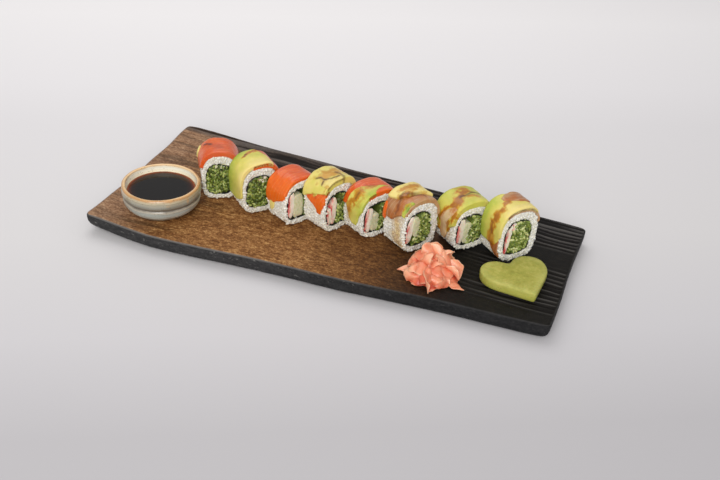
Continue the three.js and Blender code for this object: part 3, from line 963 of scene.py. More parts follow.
def make_rice(roll, seed, slices, strokes):
    """The rice round the filling: a lumpy tube, then grains all over what isn't covered."""
    angle = np.linspace(0, FULL_TURN, 112, endpoint=False)
    half = roll.length / 2
    cut = [(half - inset, share) for inset, share in RICE_CUT]
    path = [(-half + 2, 0.0), (0, 0.0), (half - 2, 0.0), *cut]
    path += [(place, 1.0) for place in np.linspace(half - 2.6, -half + 2.6, 15)]
    path += [(-place, share) for place, share in reversed(cut)]
    along, share = np.array(path).T[..., None] + 0 * angle
    in_across, in_up = roll.bore(angle, 0.15)
    out_across, out_up = roll.skin(angle, -0.8)
    across = in_across + (out_across - in_across) * share
    up = in_up + (out_up - in_up) * share
    lump = ease(share, 0.0, 0.3)
    shifts = [0.5 * waves(seed + k, along / 3.1, across / 3.1, up / 3.1) * lump for k in range(3)]
    degrees = np.degrees(angle) + 0 * along
    thin, _ = sauce_marks(roll, seed + 4, strokes, np.radians(degrees) * roll.reach, along)
    side = ease(share, 0.9, 1.0)
    hidden = 0 * along
    for *_, outline in slices:
        for turn in (0, 360):
            inward = inside_slice(roll, outline, degrees - turn, along / half)
            hidden = np.maximum(hidden, ease(inward, 0.9, 2.0))
    along, across, up = along + shifts[0], across + shifts[1], up + shifts[2]
    up = np.maximum(up, 0.0)
    under = ease(-np.sin(angle) + 0 * along, 0.75, 0.95)
    bare = (1 - side * hidden) * (1 - 0.8 * side * under) * ease(share, 0.0, 0.08)
    shell = Shell("bare", "stain", "shade")
    shell.lathe(roll.place(along, across, up), True, bare=bare, stain=thin * side, shade=0.45)
    piece = shell.piece(f"roll_{roll.number}_rice", RICE, 80)
    return STREWN.use(piece, Seed=seed, Finish=RICE.material, **GRAIN)


def make_nori(roll, seed):
    """The thin dark wrap between rice and filling, frayed a little at both cuts."""
    angle = np.linspace(0, FULL_TURN, 120, endpoint=False)
    half = roll.length / 2
    rings = []
    for along, out in (
        (-half - 0.2, 0.3), (0, 0.3), (half + 0.2, 0.3), (half + 0.45, 0.05), (half + 0.2, -0.3), (0, -0.3),
        (-half - 0.2, -0.3), (-half - 0.45, 0.05),
    ):
        frayed = along + 0.7 * waves(seed, angle * 6, angle * 0 + along) * (along != 0)
        thick = out * (0.9 + 0.7 * waves(seed + 1, angle * 4, angle * 0 + 3.3))
        bend = 0.6 * waves(seed + 2, angle * 2.2, angle * 0 + along / 20)
        across, up = roll.bore(angle, thick + bend - 0.2)
        rings.append(roll.place(frayed, across, up))
    shell = Shell()
    shell.lathe(rings, True)
    return shell.piece(f"roll_{roll.number}_nori", NORI, 60)


def make_cucumber(roll, seed, share):
    """Finely shredded cucumber packed into the right of the bore: a plug, dark green as painted shade between
    the shreds, with shreds at both cuts.
    """
    angle = np.linspace(0, FULL_TURN, 72, endpoint=False)
    half = roll.length / 2
    across, up = roll.bore(angle, -0.6)
    low = roll.half_width * CORE_WIDTH * (2 * share - 1) + roll.core_side
    middle_across = (roll.half_width * CORE_WIDTH + roll.core_side + low) / 2
    middle_up = roll.height / 2 - roll.core_drop
    edge_across = np.maximum(across, low + 0.15 * (up - middle_up))
    cuts = {-1: [], 1: []}
    for end, rings in cuts.items():
        for span in CUCUMBER_SPANS:
            a = middle_across + (edge_across - middle_across) * span
            b = middle_up + (up - middle_up) * span
            dome = 0.6 * waves(seed, a / 3, b / 3) - CUCUMBER_GAP
            rings.append(roll.place(end * (half + dome), a, b))
    flank = [roll.place(place + 0 * up, edge_across, up) for place in (-half + 1.2, 0, half - 1.2)]
    bare = np.repeat([1.0, 0.0, 1.0], [len(CUCUMBER_SPANS), len(flank), len(CUCUMBER_SPANS)])
    shell = Shell("bare", "shade")
    # shade 0.1 paints the plug's faces dark green, as painted shade where the shreds leave gaps.
    shell.lathe(cuts[-1] + flank + cuts[1][::-1], bare=bare[:, None], shade=0.1)
    piece = shell.piece(f"roll_{roll.number}_cucumber", CUCUMBER, 80)
    return STREWN.use(piece, Seed=seed, Finish=CUCUMBER.material, **SHRED)


def add_stick(shell, roll, seed, centre, size, lean, reach, cream):
    """One stick of crab or pale fish through the roll; centre and size are shares of the bore."""
    angle = np.linspace(0, FULL_TURN, 40, endpoint=False)
    half = roll.length / 2
    bore_width = roll.half_width * CORE_WIDTH
    bore_height = roll.height / 2 * CORE_HEIGHT
    c, s = np.cos(angle), np.sin(angle)
    a = size[0] * bore_width * np.sign(c) * np.abs(c) ** 0.7
    b = size[1] * bore_height * np.sign(s) * np.abs(s) ** 0.7
    wobble = 1 + 0.12 * waves(seed, c * 1.7, s * 1.7)
    tilt = math.radians(lean)
    leaned = (a * math.cos(tilt) - b * math.sin(tilt)) * wobble
    a, b = leaned, (a * math.sin(tilt) + b * math.cos(tilt)) * wobble
    rings, blush = [], []
    stations = [(-half - reach, k) for k in (0.1, 0.4, 0.7, 0.9)]
    stations += [(-half - reach + 0.5, 1.0), (0, 1.0), (half + reach - 0.5, 1.0)]
    stations += [(half + reach, k) for k in (0.9, 0.7, 0.4, 0.1)]
    for along, span in stations:
        across = roll.core_side + centre[0] * bore_width + a * span
        up = roll.height / 2 - roll.core_drop + centre[1] * bore_height + b * span
        bumpy = 0.3 * waves(seed + 3, across / 2, up / 2) * (along != 0)
        rings.append(roll.place(along + bumpy, across, up))
        inner = a / (size[0] * bore_width) * span
        blush.append(np.clip(0.35 - 0.45 * inner + 0.3 * waves(seed + 5, across / 1.6, up / 3), 0, 1))
    shell.lathe(rings, blush=np.array(blush), cream=float(cream))


def slice_slab(shell, roll, seed, slab, strokes):
    """One slice of topping bent over the rice, thin down the side, flush with the roll's two cuts."""
    _, lift, thick, tones, outline = slab
    rows, columns = SLICE_STEPS
    table = np.array(outline, float)
    degrees = np.linspace(table[0, 0], table[-1, 0], rows)[:, None]
    wander = 0.06 * waves(seed, degrees / 11, degrees * 0 + 1.5)
    low = np.interp(degrees, table[:, 0], table[:, 1]) + wander
    high = np.interp(degrees, table[:, 0], table[:, 2]) + wander
    low_cut = np.clip(low, -1, 0.97)
    high_cut = np.maximum(np.clip(high, -0.97, 1), low_cut + 0.02)
    v = np.linspace(0, 1, columns)[None, :]
    t = low_cut + (high_cut - low_cut) * v
    degrees = degrees + 0 * v
    angle = np.radians(degrees)
    along = t * roll.length / 2
    round_mm = angle * roll.reach
    ends = np.minimum(degrees - table[0, 0], table[-1, 0] - degrees) * math.pi / 180 * roll.reach
    inward = np.minimum(np.minimum(t - low, high - t) * roll.length / 2, ends)
    body = np.sqrt(1 - (1 - np.clip(inward / SLICE_ROUNDING, 0, 1)) ** 2)
    crown = np.maximum(np.sin(angle), 0) ** 0.8
    share = 0.35 + 0.65 * crown
    lumps = 0.4 * waves(roll.number, round_mm / 7, along / 6)
    lumps = lumps + 0.14 * waves(seed + 2, round_mm / 2.4, along / 2.4)
    edge_fall = 0.7 * ease(np.abs(t), 0.82, 1.0) ** 2
    stain, char = sauce_marks(roll, seed + 4, strokes, round_mm, along)
    film = 0.25 * stain + 0.2 * char
    out = (lift + thick * body) * share - 0.3 + (lumps - edge_fall) * share + film * body
    across, up = roll.skin(angle, out)
    top = roll.place(along, across, np.maximum(up, 0.4))
    across, up = roll.skin(angle, lift * share - 1.0)
    bottom = roll.place(along, across, np.maximum(up, 0.2))
    first, last, cross = tones
    u = (degrees - table[0, 0]) / (table[-1, 0] - table[0, 0])
    tone = first + (last - first) * u + cross * t + 0.16 * waves(seed + 7, round_mm / 8, along / 5)
    run = 1.15 * along + 0.10 * round_mm + 2.4 * waves(seed + 8, round_mm / 13, along / 12)
    shell.sheet(top, bottom, run=run, tone=np.clip(tone, 0, 1), stain=stain, char=char)


# How far past a cut an outline runs where its slice is cut off flush.
OVER = 1.3

# Each roll has a size: turn in degrees, half width, height and length of its rice, how much lower than the
# middle its filling sits, and how far to the right, where less than 0 is left. Then come how much of the
# filling's left side holds no cucumber, its sticks, its slices and its sauce.
# A stick: middle and half size as shares of the bore, lean in degrees, reach past the cuts, pale or not.
# A slice: kind, lift off the rice, thickness on top, tones at its start, at its end and across, and its
# outline as (angle round the roll, edge towards the back cut, edge towards the front cut), where -1 and 1
# are the cuts.
# A stroke of sauce: pool or dark, its line as (angle, place along), half width in millimetres, strength.
ROLLS = {
    1: dict(
        size=(-57.0, 16.2, 42.8, 27.5, 1.4, -0.8), cucumber=0.0,
        sticks=[((0.12, 0.84), (0.55, 0.14), 4, 0.1, True)],
        slices=[
            (
                "avocado", 4.2, 1.4, (0.1, 0.2, 0),
                [(136, -OVER, -0.74), (150, -OVER, -0.68), (166, -OVER, -0.8)],
            ),
            (
                "salmon", 0.3, 3.9, (0.75, 0.15, 0.1),
                [
                    (4, -OVER, 0.3), (22, -OVER, OVER), (152, -OVER, OVER), (162, -OVER, 0.8),
                    (172, -OVER, 0), (184, -OVER, -0.8),
                ],
            ),
        ],
        strokes=[
            ("dark", [(121, -0.5), (113, -0.3), (105, -0.1)], 1.7, 0.95),
            ("pool", [(124, -0.5), (104, 0.0), (88, 0.5)], 3.4, 0.45),
        ],
    ),
    2: dict(
        size=(-38.5, 17.5, 43.4, 25.7, 1.0, -1.5), cucumber=0.0,
        sticks=[((0.2, 0.76), (0.36, 0.2), -6, 0.5, False)],
        slices=[
            (
                "salmon", 0.3, 3.7, (0.95, 0.6, -0.35),
                [(8, -OVER, 0.6), (24, -OVER, OVER), (100, -OVER, OVER), (108, -OVER, 1.0)],
            ),
            (
                "avocado", 1.7, 3.1, (0.3, 0.6, -0.45),
                [
                    (60, 0.6, OVER), (68, -0.3, OVER), (80, -0.85, OVER), (86, -OVER, OVER),
                    (180, -OVER, OVER), (188, -OVER, 0.7), (196, -0.8, 0.1),
                ],
            ),
        ],
        strokes=[
            ("pool", [(107, -0.3), (97, -0.6), (85, -0.72)], 1.7, 0.9),
            ("dark", [(107, -0.32), (101, -0.5)], 1.2, 0.7),
        ],
    ),
    3: dict(
        size=(-27.0, 19.0, 41.4, 25.0, 0.6, -3.0), cucumber=0.66,
        sticks=[((-0.66, 0.02), (0.22, 0.84), -6, 0.3, False), ((-0.12, -0.12), (0.4, 0.78), 0, 0.3, True)],
        slices=[
            (
                "salmon", 0.3, 2.4, (0.95, -0.1, 0.05),
                [
                    (-4, -OVER, 0.4), (14, -OVER, OVER), (146, -OVER, OVER), (158, -OVER, 0.92),
                    (170, -OVER, 0.78), (177, -1.2, 0.3), (182, -0.9, -0.3),
                ],
            ),
            (
                "avocado", 0.0, 1.6, (0.0, 0.1, 0),
                [(160, -0.75, -0.2), (184, -0.7, -0.2), (198, -0.6, -0.35)],
            ),
        ],
        strokes=[
            ("dark", [(68, -0.66), (66, -0.6)], 0.8, 1.0), ("dark", [(172, 0.62), (176, 0.5)], 0.9, 0.6),
        ],
    ),
    4: dict(
        size=(-23.5, 18.2, 44.0, 24.6, 0.5, -2.6), cucumber=0.5,
        sticks=[
            ((-0.72, -0.36), (0.2, 0.56), 0, 0.3, False), ((-0.34, -0.1), (0.24, 0.86), -4, 0.3, False),
        ],
        slices=[
            (
                "salmon", 0.3, 2.6, (0.3, 0.1, -0.15),
                [
                    (126, -OVER, OVER), (150, -0.95, OVER), (160, -0.85, 1.1), (168, -0.6, 0.97),
                    (175, -0.05, 0.85), (182, 0.4, 0.65),
                ],
            ),
            (
                "avocado", 0.3, 4.9, (0.1, 0.35, 0.1),
                [
                    (2, -OVER, 0.5), (20, -OVER, OVER), (136, -OVER, OVER), (150, -OVER, 0.1),
                    (160, -OVER, -0.6), (167, -OVER, -0.9),
                ],
            ),
            (
                "avocado", 3.6, 2.0, (0.1, 0.1, -0.2),
                [(84, 0.62, OVER), (102, 0.6, OVER), (114, -0.1, OVER), (128, 0.3, OVER)],
            ),
            ("avocado", 1.6, 1.4, (0.4, 0.4, 0), [(143, -0.1, 0.3), (152, -0.2, 0.35), (160, -0.05, 0.25)]),
        ],
        strokes=[
            ("pool", [(104, -0.1), (90, 0.1), (72, -0.05)], 7.0, 0.62),
            ("dark", [(118, -0.3), (112, -0.1), (112, 0.3), (104, 0.5), (90, 0.66)], 1.3, 1.0),
            ("dark", [(112, 0.3), (124, 0.42)], 1.0, 0.85),
            ("dark", [(84, 0.15), (80, 0.6), (84, 1.0)], 1.6, 0.75),
            ("pool", [(150, 0.0), (156, 0.2)], 1.5, 0.5), ("pool", [(122, 0.86), (140, 0.92)], 1.6, 0.5),
        ],
    ),
    5: dict(
        size=(-30.5, 20.2, 39.6, 24.3, 0.6, -3.2), cucumber=0.56,
        sticks=[((-0.64, -0.04), (0.28, 0.88), -6, 0.3, False), ((-0.2, -0.3), (0.36, 0.64), 0, 0.4, True)],
        slices=[
            (
                "salmon", 0.3, 3.4, (0.85, 0.2, -0.3),
                [
                    (6, -OVER, 0.6), (22, -OVER, OVER), (120, -OVER, OVER), (134, -OVER, 0.2),
                    (156, -OVER, -0.4), (166, -OVER, -0.8),
                ],
            ),
            (
                "avocado", 1.5, 2.6, (0.75, 0.45, 0.1),
                [
                    (56, 0.45, 0.6), (76, 0.3, 0.58), (90, 0.1, 0.66), (99, -0.2, 0.9), (108, -0.35, OVER),
                    (123, -0.5, OVER), (150, -0.66, OVER), (162, -0.68, 1.0), (178, -0.45, 0.7),
                    (190, 0.1, 0.45),
                ],
            ),
        ],
        strokes=[
            ("pool", [(180, -0.2), (160, -0.15), (136, 0.1), (116, 0.05), (96, 0.1)], 3.8, 0.8),
            ("pool", [(150, 0.5), (128, 0.7)], 2.4, 0.4), ("dark", [(140, 0.1), (124, 0.05)], 1.2, 0.45),
            ("dark", [(176, -0.25), (168, -0.2)], 0.9, 0.4),
        ],
    ),
    6: dict(
        size=(-32.0, 18.4, 44.6, 26.0, 0.4, -2.8), cucumber=0.4,
        sticks=[((-0.66, 0.02), (0.24, 0.8), -8, 0.5, False), ((-0.18, 0.12), (0.3, 0.62), 8, 0.9, True)],
        slices=[
            (
                "white_fish", 0.3, 3.3, (0.45, 0.75, -0.1),
                [
                    (2, -OVER, 0.6), (20, -OVER, OVER), (140, -OVER, OVER), (150, -OVER, 0.6),
                    (162, -OVER, 0.15), (172, -0.7, -0.2),
                ],
            ),
            (
                "salmon", 1.6, 2.4, (0.1, 0.0, 0),
                [(138, -OVER, -0.75), (150, -OVER, -0.6), (168, -OVER, -0.62), (178, -OVER, -0.85)],
            ),
            (
                "avocado", 3.4, 3.0, (0.0, 0.05, 0),
                [
                    (50, -OVER, 0.45), (66, -OVER, 0.42), (90, -OVER, 0.34), (106, -OVER, 0.2),
                    (122, -OVER, -0.2), (130, -OVER, -0.8),
                ],
            ),
            (
                "avocado", 2.6, 2.0, (0.45, 0.4, 0.5),
                [(107, 0.72, 0.98), (122, 0.55, 1.0), (138, 0.6, 0.98), (150, 0.75, 0.95)],
            ),
        ],
        strokes=[
            ("pool", [(100, -0.35), (80, -0.35)], 5.0, 0.72),
            ("pool", [(104, 0.2), (116, 0.35), (134, 0.3), (150, 0.25)], 4.8, 0.95),
            ("dark", [(106, -0.2), (125, 0.0), (142, 0.25), (152, 0.2)], 1.7, 0.7),
            ("dark", [(104, 0.1), (90, 0.35), (79, 0.6)], 1.6, 0.75),
            ("pool", [(92, 0.5), (80, 0.6)], 3.0, 0.7),
            ("pool", [(164, 0.15), (184, 0.3), (206, 0.45)], 6.4, 1.0),
            ("pool", [(206, 0.5), (226, 0.9)], 5.0, 1.0),
        ],
    ),
    7: dict(
        size=(-39.5, 19.0, 40.6, 27.6, 0.6, -2.8), cucumber=0.48,
        sticks=[
            ((-0.66, -0.04), (0.26, 0.88), -5, 0.3, False), ((-0.22, -0.2), (0.32, 0.72), 0, 0.3, True),
        ],
        slices=[
            (
                "avocado", 0.3, 4.6, (0.55, 0.6, -0.1),
                [
                    (6, -OVER, 0.6), (22, -OVER, OVER), (150, -OVER, OVER), (168, -OVER, 1.0),
                    (182, -1.2, 0.5), (190, -0.6, 0.0),
                ],
            ),
            (
                "white_fish", 3.6, 2.2, (0.1, 0.45, -0.1),
                [
                    (128, 0.5, 0.8), (143, 0.1, 0.78), (155, -0.1, 0.66), (170, -0.28, 0.42),
                    (186, -0.25, 0.4), (200, -0.1, 0.2),
                ],
            ),
        ],
        strokes=[
            ("pool", [(88, -0.5), (96, 0.0), (110, 0.25), (124, 0.45), (130, 0.7)], 4.4, 0.95),
            ("pool", [(82, 0.3), (90, 0.2)], 3.4, 0.8),
            ("dark", [(104, 0.1), (94, 0.12), (80, -0.1), (58, 0.0)], 1.5, 0.9),
            ("pool", [(88, -0.6), (98, -0.2)], 5.0, 0.6), ("dark", [(102, 0.05), (94, 0.1)], 2.6, 0.6),
            (
                "pool", [(124, 0.3), (140, 0.05), (163, -0.25), (178, -0.38), (190, -0.32), (204, -0.12)],
                2.0, 0.95,
            ),
            ("pool", [(132, 0.85), (143, 0.88), (156, 0.78), (172, 0.5), (186, 0.5), (202, 0.3)], 1.9, 0.9),
        ],
    ),
    8: dict(
        size=(-39.6, 18.8, 46.6, 25.8, 0.6, -1.4), cucumber=0.28,
        sticks=[
            ((-0.7, -0.05), (0.15, 0.84), -8, 0.3, False), ((-0.36, 0.66), (0.24, 0.2), 10, 0.4, False),
        ],
        slices=[
            (
                "white_fish", 0.3, 2.6, (0.3, 0.6, 0.1),
                [(16, -OVER, 0.9), (28, -OVER, OVER), (120, -OVER, OVER), (132, -OVER, 1.0)],
            ),
            (
                "white_fish", 2.6, 2.2, (0.75, 0.6, 0.1),
                [(48, -1.0, 0.1), (62, -1.1, 0.3), (84, -0.9, 0.22), (98, -0.7, 0.0), (108, -0.5, -0.2)],
            ),
            (
                "white_fish", 0.2, 1.6, (0.7, 0.9, 0.1),
                [(172, 0.0, 0.8), (190, 0.0, 0.85), (206, 0.3, 0.9), (218, 0.6, 0.95)],
            ),
            (
                "avocado", 1.4, 2.4, (0.15, 0.6, -0.3),
                [
                    (44, 0.5, OVER), (66, 0.2, OVER), (84, -0.2, OVER), (98, -OVER, OVER),
                    (172, -OVER, OVER), (180, -1.2, 0.85), (190, -0.7, 0.45),
                ],
            ),
        ],
        strokes=[
            ("pool", [(90, -0.25), (105, 0.0), (121, 0.22), (138, 0.18)], 2.8, 0.9),
            ("pool", [(138, 0.18), (150, 0.22), (168, 0.16), (186, 0.25)], 3.6, 0.95),
            ("pool", [(186, 0.3), (208, 0.6)], 2.4, 0.7), ("dark", [(158, 0.1), (176, 0.2)], 2.0, 0.3),
        ],
    ),
}


def make_roll(number, size, cucumber, sticks, slices, strokes):
    """One roll and all that is in and on it."""
    roll = Roll(number, *size)
    seed = 100 * number
    serve(make_rice(roll, seed, slices, strokes), "rice", f"roll_{number}")
    serve(make_nori(roll, seed + 20), "nori")
    serve(make_cucumber(roll, seed + 30, cucumber), "cucumber")
    shell = Shell("blush", "cream")
    for count, stick in enumerate(sticks):
        add_stick(shell, roll, seed + 40 + count, *stick)
    serve(shell.piece(f"roll_{number}_crab", CRAB, 50), "crab")
    shells = {}
    for count, slab in enumerate(slices):
        shell = shells.setdefault(slab[0], Shell("run", "tone", "stain", "char"))
        slice_slab(shell, roll, seed + 60 + count, slab, strokes)
    for kind, shell in shells.items():
        serve(shell.piece(f"roll_{number}_{kind}", TOPPING_FINISH[kind], 50), kind)


for number, roll_recipe in ROLLS.items():
    make_roll(number, **roll_recipe)


# ---------------------------------------------------------------- the ginger

GINGER_PLACE = (299.2, 19.6)
GINGER_RADIUS = 21
GINGER_DOME = 17
GINGER_YAW = 0.34
TURN_ALONG, TURN_ACROSS = 0.942, 0.335
CORE_SHARES = (0.04, 0.3, 0.5, 0.7, 0.74, 0.72, 0.6, 0.45, 0.3, 0.1, 0.02)
CORE_TOP_FROM = 5
PETALS = 26
PETAL_SEED = 12
PETAL_SPREAD = 18.5
PETAL_STEPS = 26
SLOPE_STEP = 1.5

# The slices that show one by one: place (right, back, up), where each faces, yaw, half sizes, radius of the
# bend, pointed or not.
SHOWN_SLICES = [
    ((5, -15.0, 5.5), (0.15, -1.0, 0.85), 0.0, (9.5, 8), 7.5, False),
    ((-9, -13.5, 5.0), (-0.5, -1.0, 0.9), 0.2, (9, 7.5), 6.5, False),
    ((16, -9, 4.5), (0.8, -0.6, 1.0), 0.6, (8.5, 7), 6.0, False),
    ((19, -14, 1.8), (0.1, -0.3, 1.0), -0.55, (7.5, 4.0), 9.0, True),
    ((-19, 3.5, 3.2), (-0.2, -0.3, 1.0), 3.1, (8.5, 3.8), 8.0, True),
    ((-16, -7.5, 2.6), (-0.3, -0.6, 1.0), 3.9, (5.0, 3.2), 7.0, True),
    ((-14, 3, 9.0), (-0.9, -0.3, 0.9), 1.2, (7, 7), 6.0, False),
    ((14, 6, 13.0), (0.8, -0.3, 0.9), 1.0, (7, 6.5), 5.5, False),
]


def heap_height(x, y):
    """The heap's top, in millimetres: a dome lower towards the front, with two summits at the back."""
    right = TURN_ALONG * x + TURN_ACROSS * y
    back = TURN_ALONG * y - TURN_ACROSS * x
    angle = np.arctan2(y, x)
    rim = GINGER_RADIUS * (1 + 0.06 * np.sin(3 * angle + 0.6) + 0.04 * np.sin(7 * angle))
    share = np.clip(np.hypot(x, y) / rim, 0, 1)
    dome = GINGER_DOME * (1 - share**2.6) ** 0.7 * (0.74 + 0.26 * ease(back, -16, 6))
    left_top = 7 * np.exp(-(((right + 5) / 7) ** 2) - ((back - 6) / 6) ** 2)
    right_top = 7.5 * np.exp(-(((right - 11) / 4.5) ** 2) - ((back - 9) / 5) ** 2)
    gap = 3.5 * np.exp(-(((right - 4) / 3) ** 2) - ((back - 9) / 8) ** 2)
    return np.maximum(dome + left_top + right_top - gap * (share < 0.9), 0)


def add_petal(shell, seed, middle, facing, yaw, size, radius, fold, point):
    """One thin slice of ginger: bent round a line along it, ruffled at its rim, pointed if asked."""
    p = np.linspace(-1, 1, PETAL_STEPS)[:, None]
    q = p.T
    outline = np.sqrt(np.maximum(1 - np.abs(p) ** 2.4, 0.0))
    if point:
        outline = outline * (1 - 0.8 * ease(p, -0.1, 1.0))
    outline = np.maximum(outline, 0.05)
    out = np.maximum(np.abs(p), np.abs(q))
    a = size[0] * p * (1 + 0.10 * waves(seed, q * 2 + 5, p * 2)) + 0 * q
    b = size[1] * q * outline * (1 + 0.14 * waves(seed + 1, p * 2, q * 2 + 7))
    turned = b / radius
    b_bent = radius * np.sin(turned)
    drop = -abs(radius) * (1 - np.cos(turned)) * np.sign(radius)
    drop = drop - a * a / 60 * (1 + waves(seed + 2, p + 3, q))
    ruffle = fold * (
        1.2 * waves(seed + 3, a / 4.6, b / 4.6) + 0.9 * out**3 * waves(seed + 4, a / 3.2, b / 3.2)
    )
    c = drop + ruffle
    normal = np.array(facing, float)
    normal /= np.linalg.norm(normal)
    across = np.array([-math.sin(yaw), math.cos(yaw), 0.0])
    ahead = np.cross(across, normal)
    ahead /= np.linalg.norm(ahead)
    across = np.cross(normal, ahead)
    sheet = np.array(middle) + a[..., None] * ahead + b_bent[..., None] * across + c[..., None] * normal
    x, y = sheet[..., 0], sheet[..., 1]
    floor = 0.7 + 0.5 * (1 + waves(seed + 5, x / 5, y / 5))
    sheet[..., 2] = np.maximum(sheet[..., 2], floor)
    du = np.gradient(sheet, axis=0)
    dv = np.gradient(sheet, axis=1)
    upright = np.cross(du, dv)
    upright /= np.linalg.norm(upright, axis=-1)[..., None] + 1e-9
    thick = 0.5 * (1 - 0.75 * out**6)[..., None]
    inside = heap_height(x, y) - sheet[..., 2]
    shell.sheet(
        (sheet + upright * thick + GINGER_MIDDLE) * MM, (sheet - upright * thick + GINGER_MIDDLE) * MM,
        # deep grows further under the heap's top and in ruffle troughs: stacked slices and painted shade.
        edge=out**2, deep=np.clip(0.36 + 0.1 * inside - 0.1 * ruffle, 0, 1),
    )


def ginger_finish():
    """Pickled ginger: pink slices, deeper red down in the heap and in the folds, where slices stack and where
    painted shade falls, pale at the rims.
    """
    finish = moist("pickled ginger", 0.5, 0.3, 0.003, (1.0, 0.45, 0.3), Coat_Roughness=0.15)
    edge, deep = finish.marks("edge", "deep")
    cloud = finish.noise(130, 3, 0.55)
    fibre = finish.noise(600, 3, 0.6)
    # deep darkens the red: partly stacked slices, partly painted shade in the crevices.
    colour = finish.ramp(
        deep * 0.7 + (1 - cloud) * 0.5, (0.18, 248, 178, 142), (0.40, 238, 148, 112), (0.60, 226, 114, 80),
        (0.86, 196, 62, 40),
    )
    colour = finish.mix(edge.above(0.7, 1.0) * 0.3, colour, paint(252, 206, 170))
    finish.wear(Base_Color=colour, Roughness=0.28 + fibre * 0.2, Coat_Weight=0.22)
    finish.bump(fibre * 0.6 + cloud * 0.4, 0.0003, 0.4)
    return finish


def turned_with_heap(right, back, up):
    """A direction or place given as right, back and up of the heap, in the platter's axes."""
    return (TURN_ALONG * right - TURN_ACROSS * back, TURN_ACROSS * right + TURN_ALONG * back, up)


def make_ginger():
    """A smaller solid core under slices strewn over the heap, and the slices that show one by one."""
    shell = Shell("edge", "deep")
    angle = np.linspace(0, FULL_TURN, 72, endpoint=False)
    rings = []
    for number, share in enumerate(CORE_SHARES):
        x = GINGER_RADIUS * share * np.cos(angle)
        y = GINGER_RADIUS * share * np.sin(angle)
        z = 0.2 + 0 * x
        if number >= CORE_TOP_FROM:
            z = heap_height(x, y) * 0.72 + 0.8 * waves(801, x / 4, y / 4)
        rings.append(np.stack([x, y, np.maximum(z, 0.2)], -1))
    # The core shows only in gaps between slices; deep 0.75 paints it dark red, as painted shade.
    shell.lathe((np.array(rings) + GINGER_MIDDLE) * MM, edge=0.0, deep=0.75)
    rng = np.random.default_rng(PETAL_SEED)
    for count in range(PETALS):
        out = PETAL_SPREAD * math.sqrt((count + 0.6) / PETALS)
        turn = 2.4 * count
        x, y = out * math.cos(turn), out * math.sin(turn)
        spots = np.array([[x, x + SLOPE_STEP, x], [y, y, y + SLOPE_STEP]])
        high, east, north = heap_height(*spots)
        facing = np.array([(high - east) / SLOPE_STEP * 0.75, (high - north) / SLOPE_STEP * 0.75, 1.0])
        facing = facing / np.linalg.norm(facing) + rng.uniform(-0.36, 0.36, 3)
        size = (rng.uniform(6.5, 9.5), rng.uniform(7.0, 10.5))
        radius = rng.uniform(4.5, 8) * (1 if rng.uniform() < 0.8 else -1)
        middle = (x, y, high - rng.uniform(-0.5, 2.0))
        yaw = rng.uniform(0, FULL_TURN)
        add_petal(shell, 810 + 7 * count, middle, facing, yaw, size, radius, 0.9, False)
    for count, (place, facing, yaw, size, radius, point) in enumerate(SHOWN_SLICES):
        middle, facing = turned_with_heap(*place), turned_with_heap(*facing)
        add_petal(shell, 1100 + 7 * count, middle, facing, yaw + GINGER_YAW, size, radius, 0.6, point)
    return shell


GINGER_MIDDLE = np.array([*(board_shift[:2] + GINGER_PLACE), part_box("ginger")[0].z / MM])
serve(make_ginger().piece("ginger_slices", ginger_finish(), 60), "ginger", "ginger")


# ---------------------------------------------------------------- the wasabi heart

HEART_SIDE = 32
HEART_LOBE = 18
HEART_THICK = 8.5
HEART_TURN = -3
HEART_TIP = (382.8, 20.8)
HEART_ROUNDING = 14
NOTCH_PULL = (1.9, -1.9)
NOTCH_REACH = 6

# The heart from its underside up to the edge of its top: inset and height, then shares towards its centre.
HEART_LAYERS = [
    (4, 0.0), (1.4, 0.1), (0.5, 0.9), (0.1, 2.4), (0.0, 4.5), (0.1, 6.8), (0.35, 7.8), (0.9, 8.35),
    (2.6, 8.5),
]
HEART_TOP_SHARES = (0.93, 0.84, 0.74, 0.63, 0.52, 0.41, 0.3, 0.2, 0.1, 0.03)


def heart_outline(steps):
    """The heart's edge from its tip: a straight side, two round lobes, and the other side."""
    share = np.linspace(0, 1, steps, endpoint=False)
    none, half, turn = 0 * share, HEART_SIDE / 2, math.pi * share
    straight = np.stack([none, HEART_SIDE * share])
    lobe = np.stack([-half + half * np.cos(turn), HEART_SIDE + HEART_LOBE * np.sin(turn)])
    second = np.stack([-HEART_SIDE - HEART_LOBE * np.sin(turn), half + half * np.cos(turn)])
    back = np.stack([-HEART_SIDE * (1 - share), none])
    line = np.hstack([straight, lobe, second, back]).T
    for _ in range(HEART_ROUNDING):
        line = 0.5 * line + 0.25 * (np.roll(line, 1, 0) + np.roll(line, -1, 0))
    notch = (-HEART_SIDE, HEART_SIDE)
    near_notch = np.exp(-np.sum((line - notch) ** 2, axis=1) / NOTCH_REACH**2)
    return line + near_notch[:, None] * NOTCH_PULL


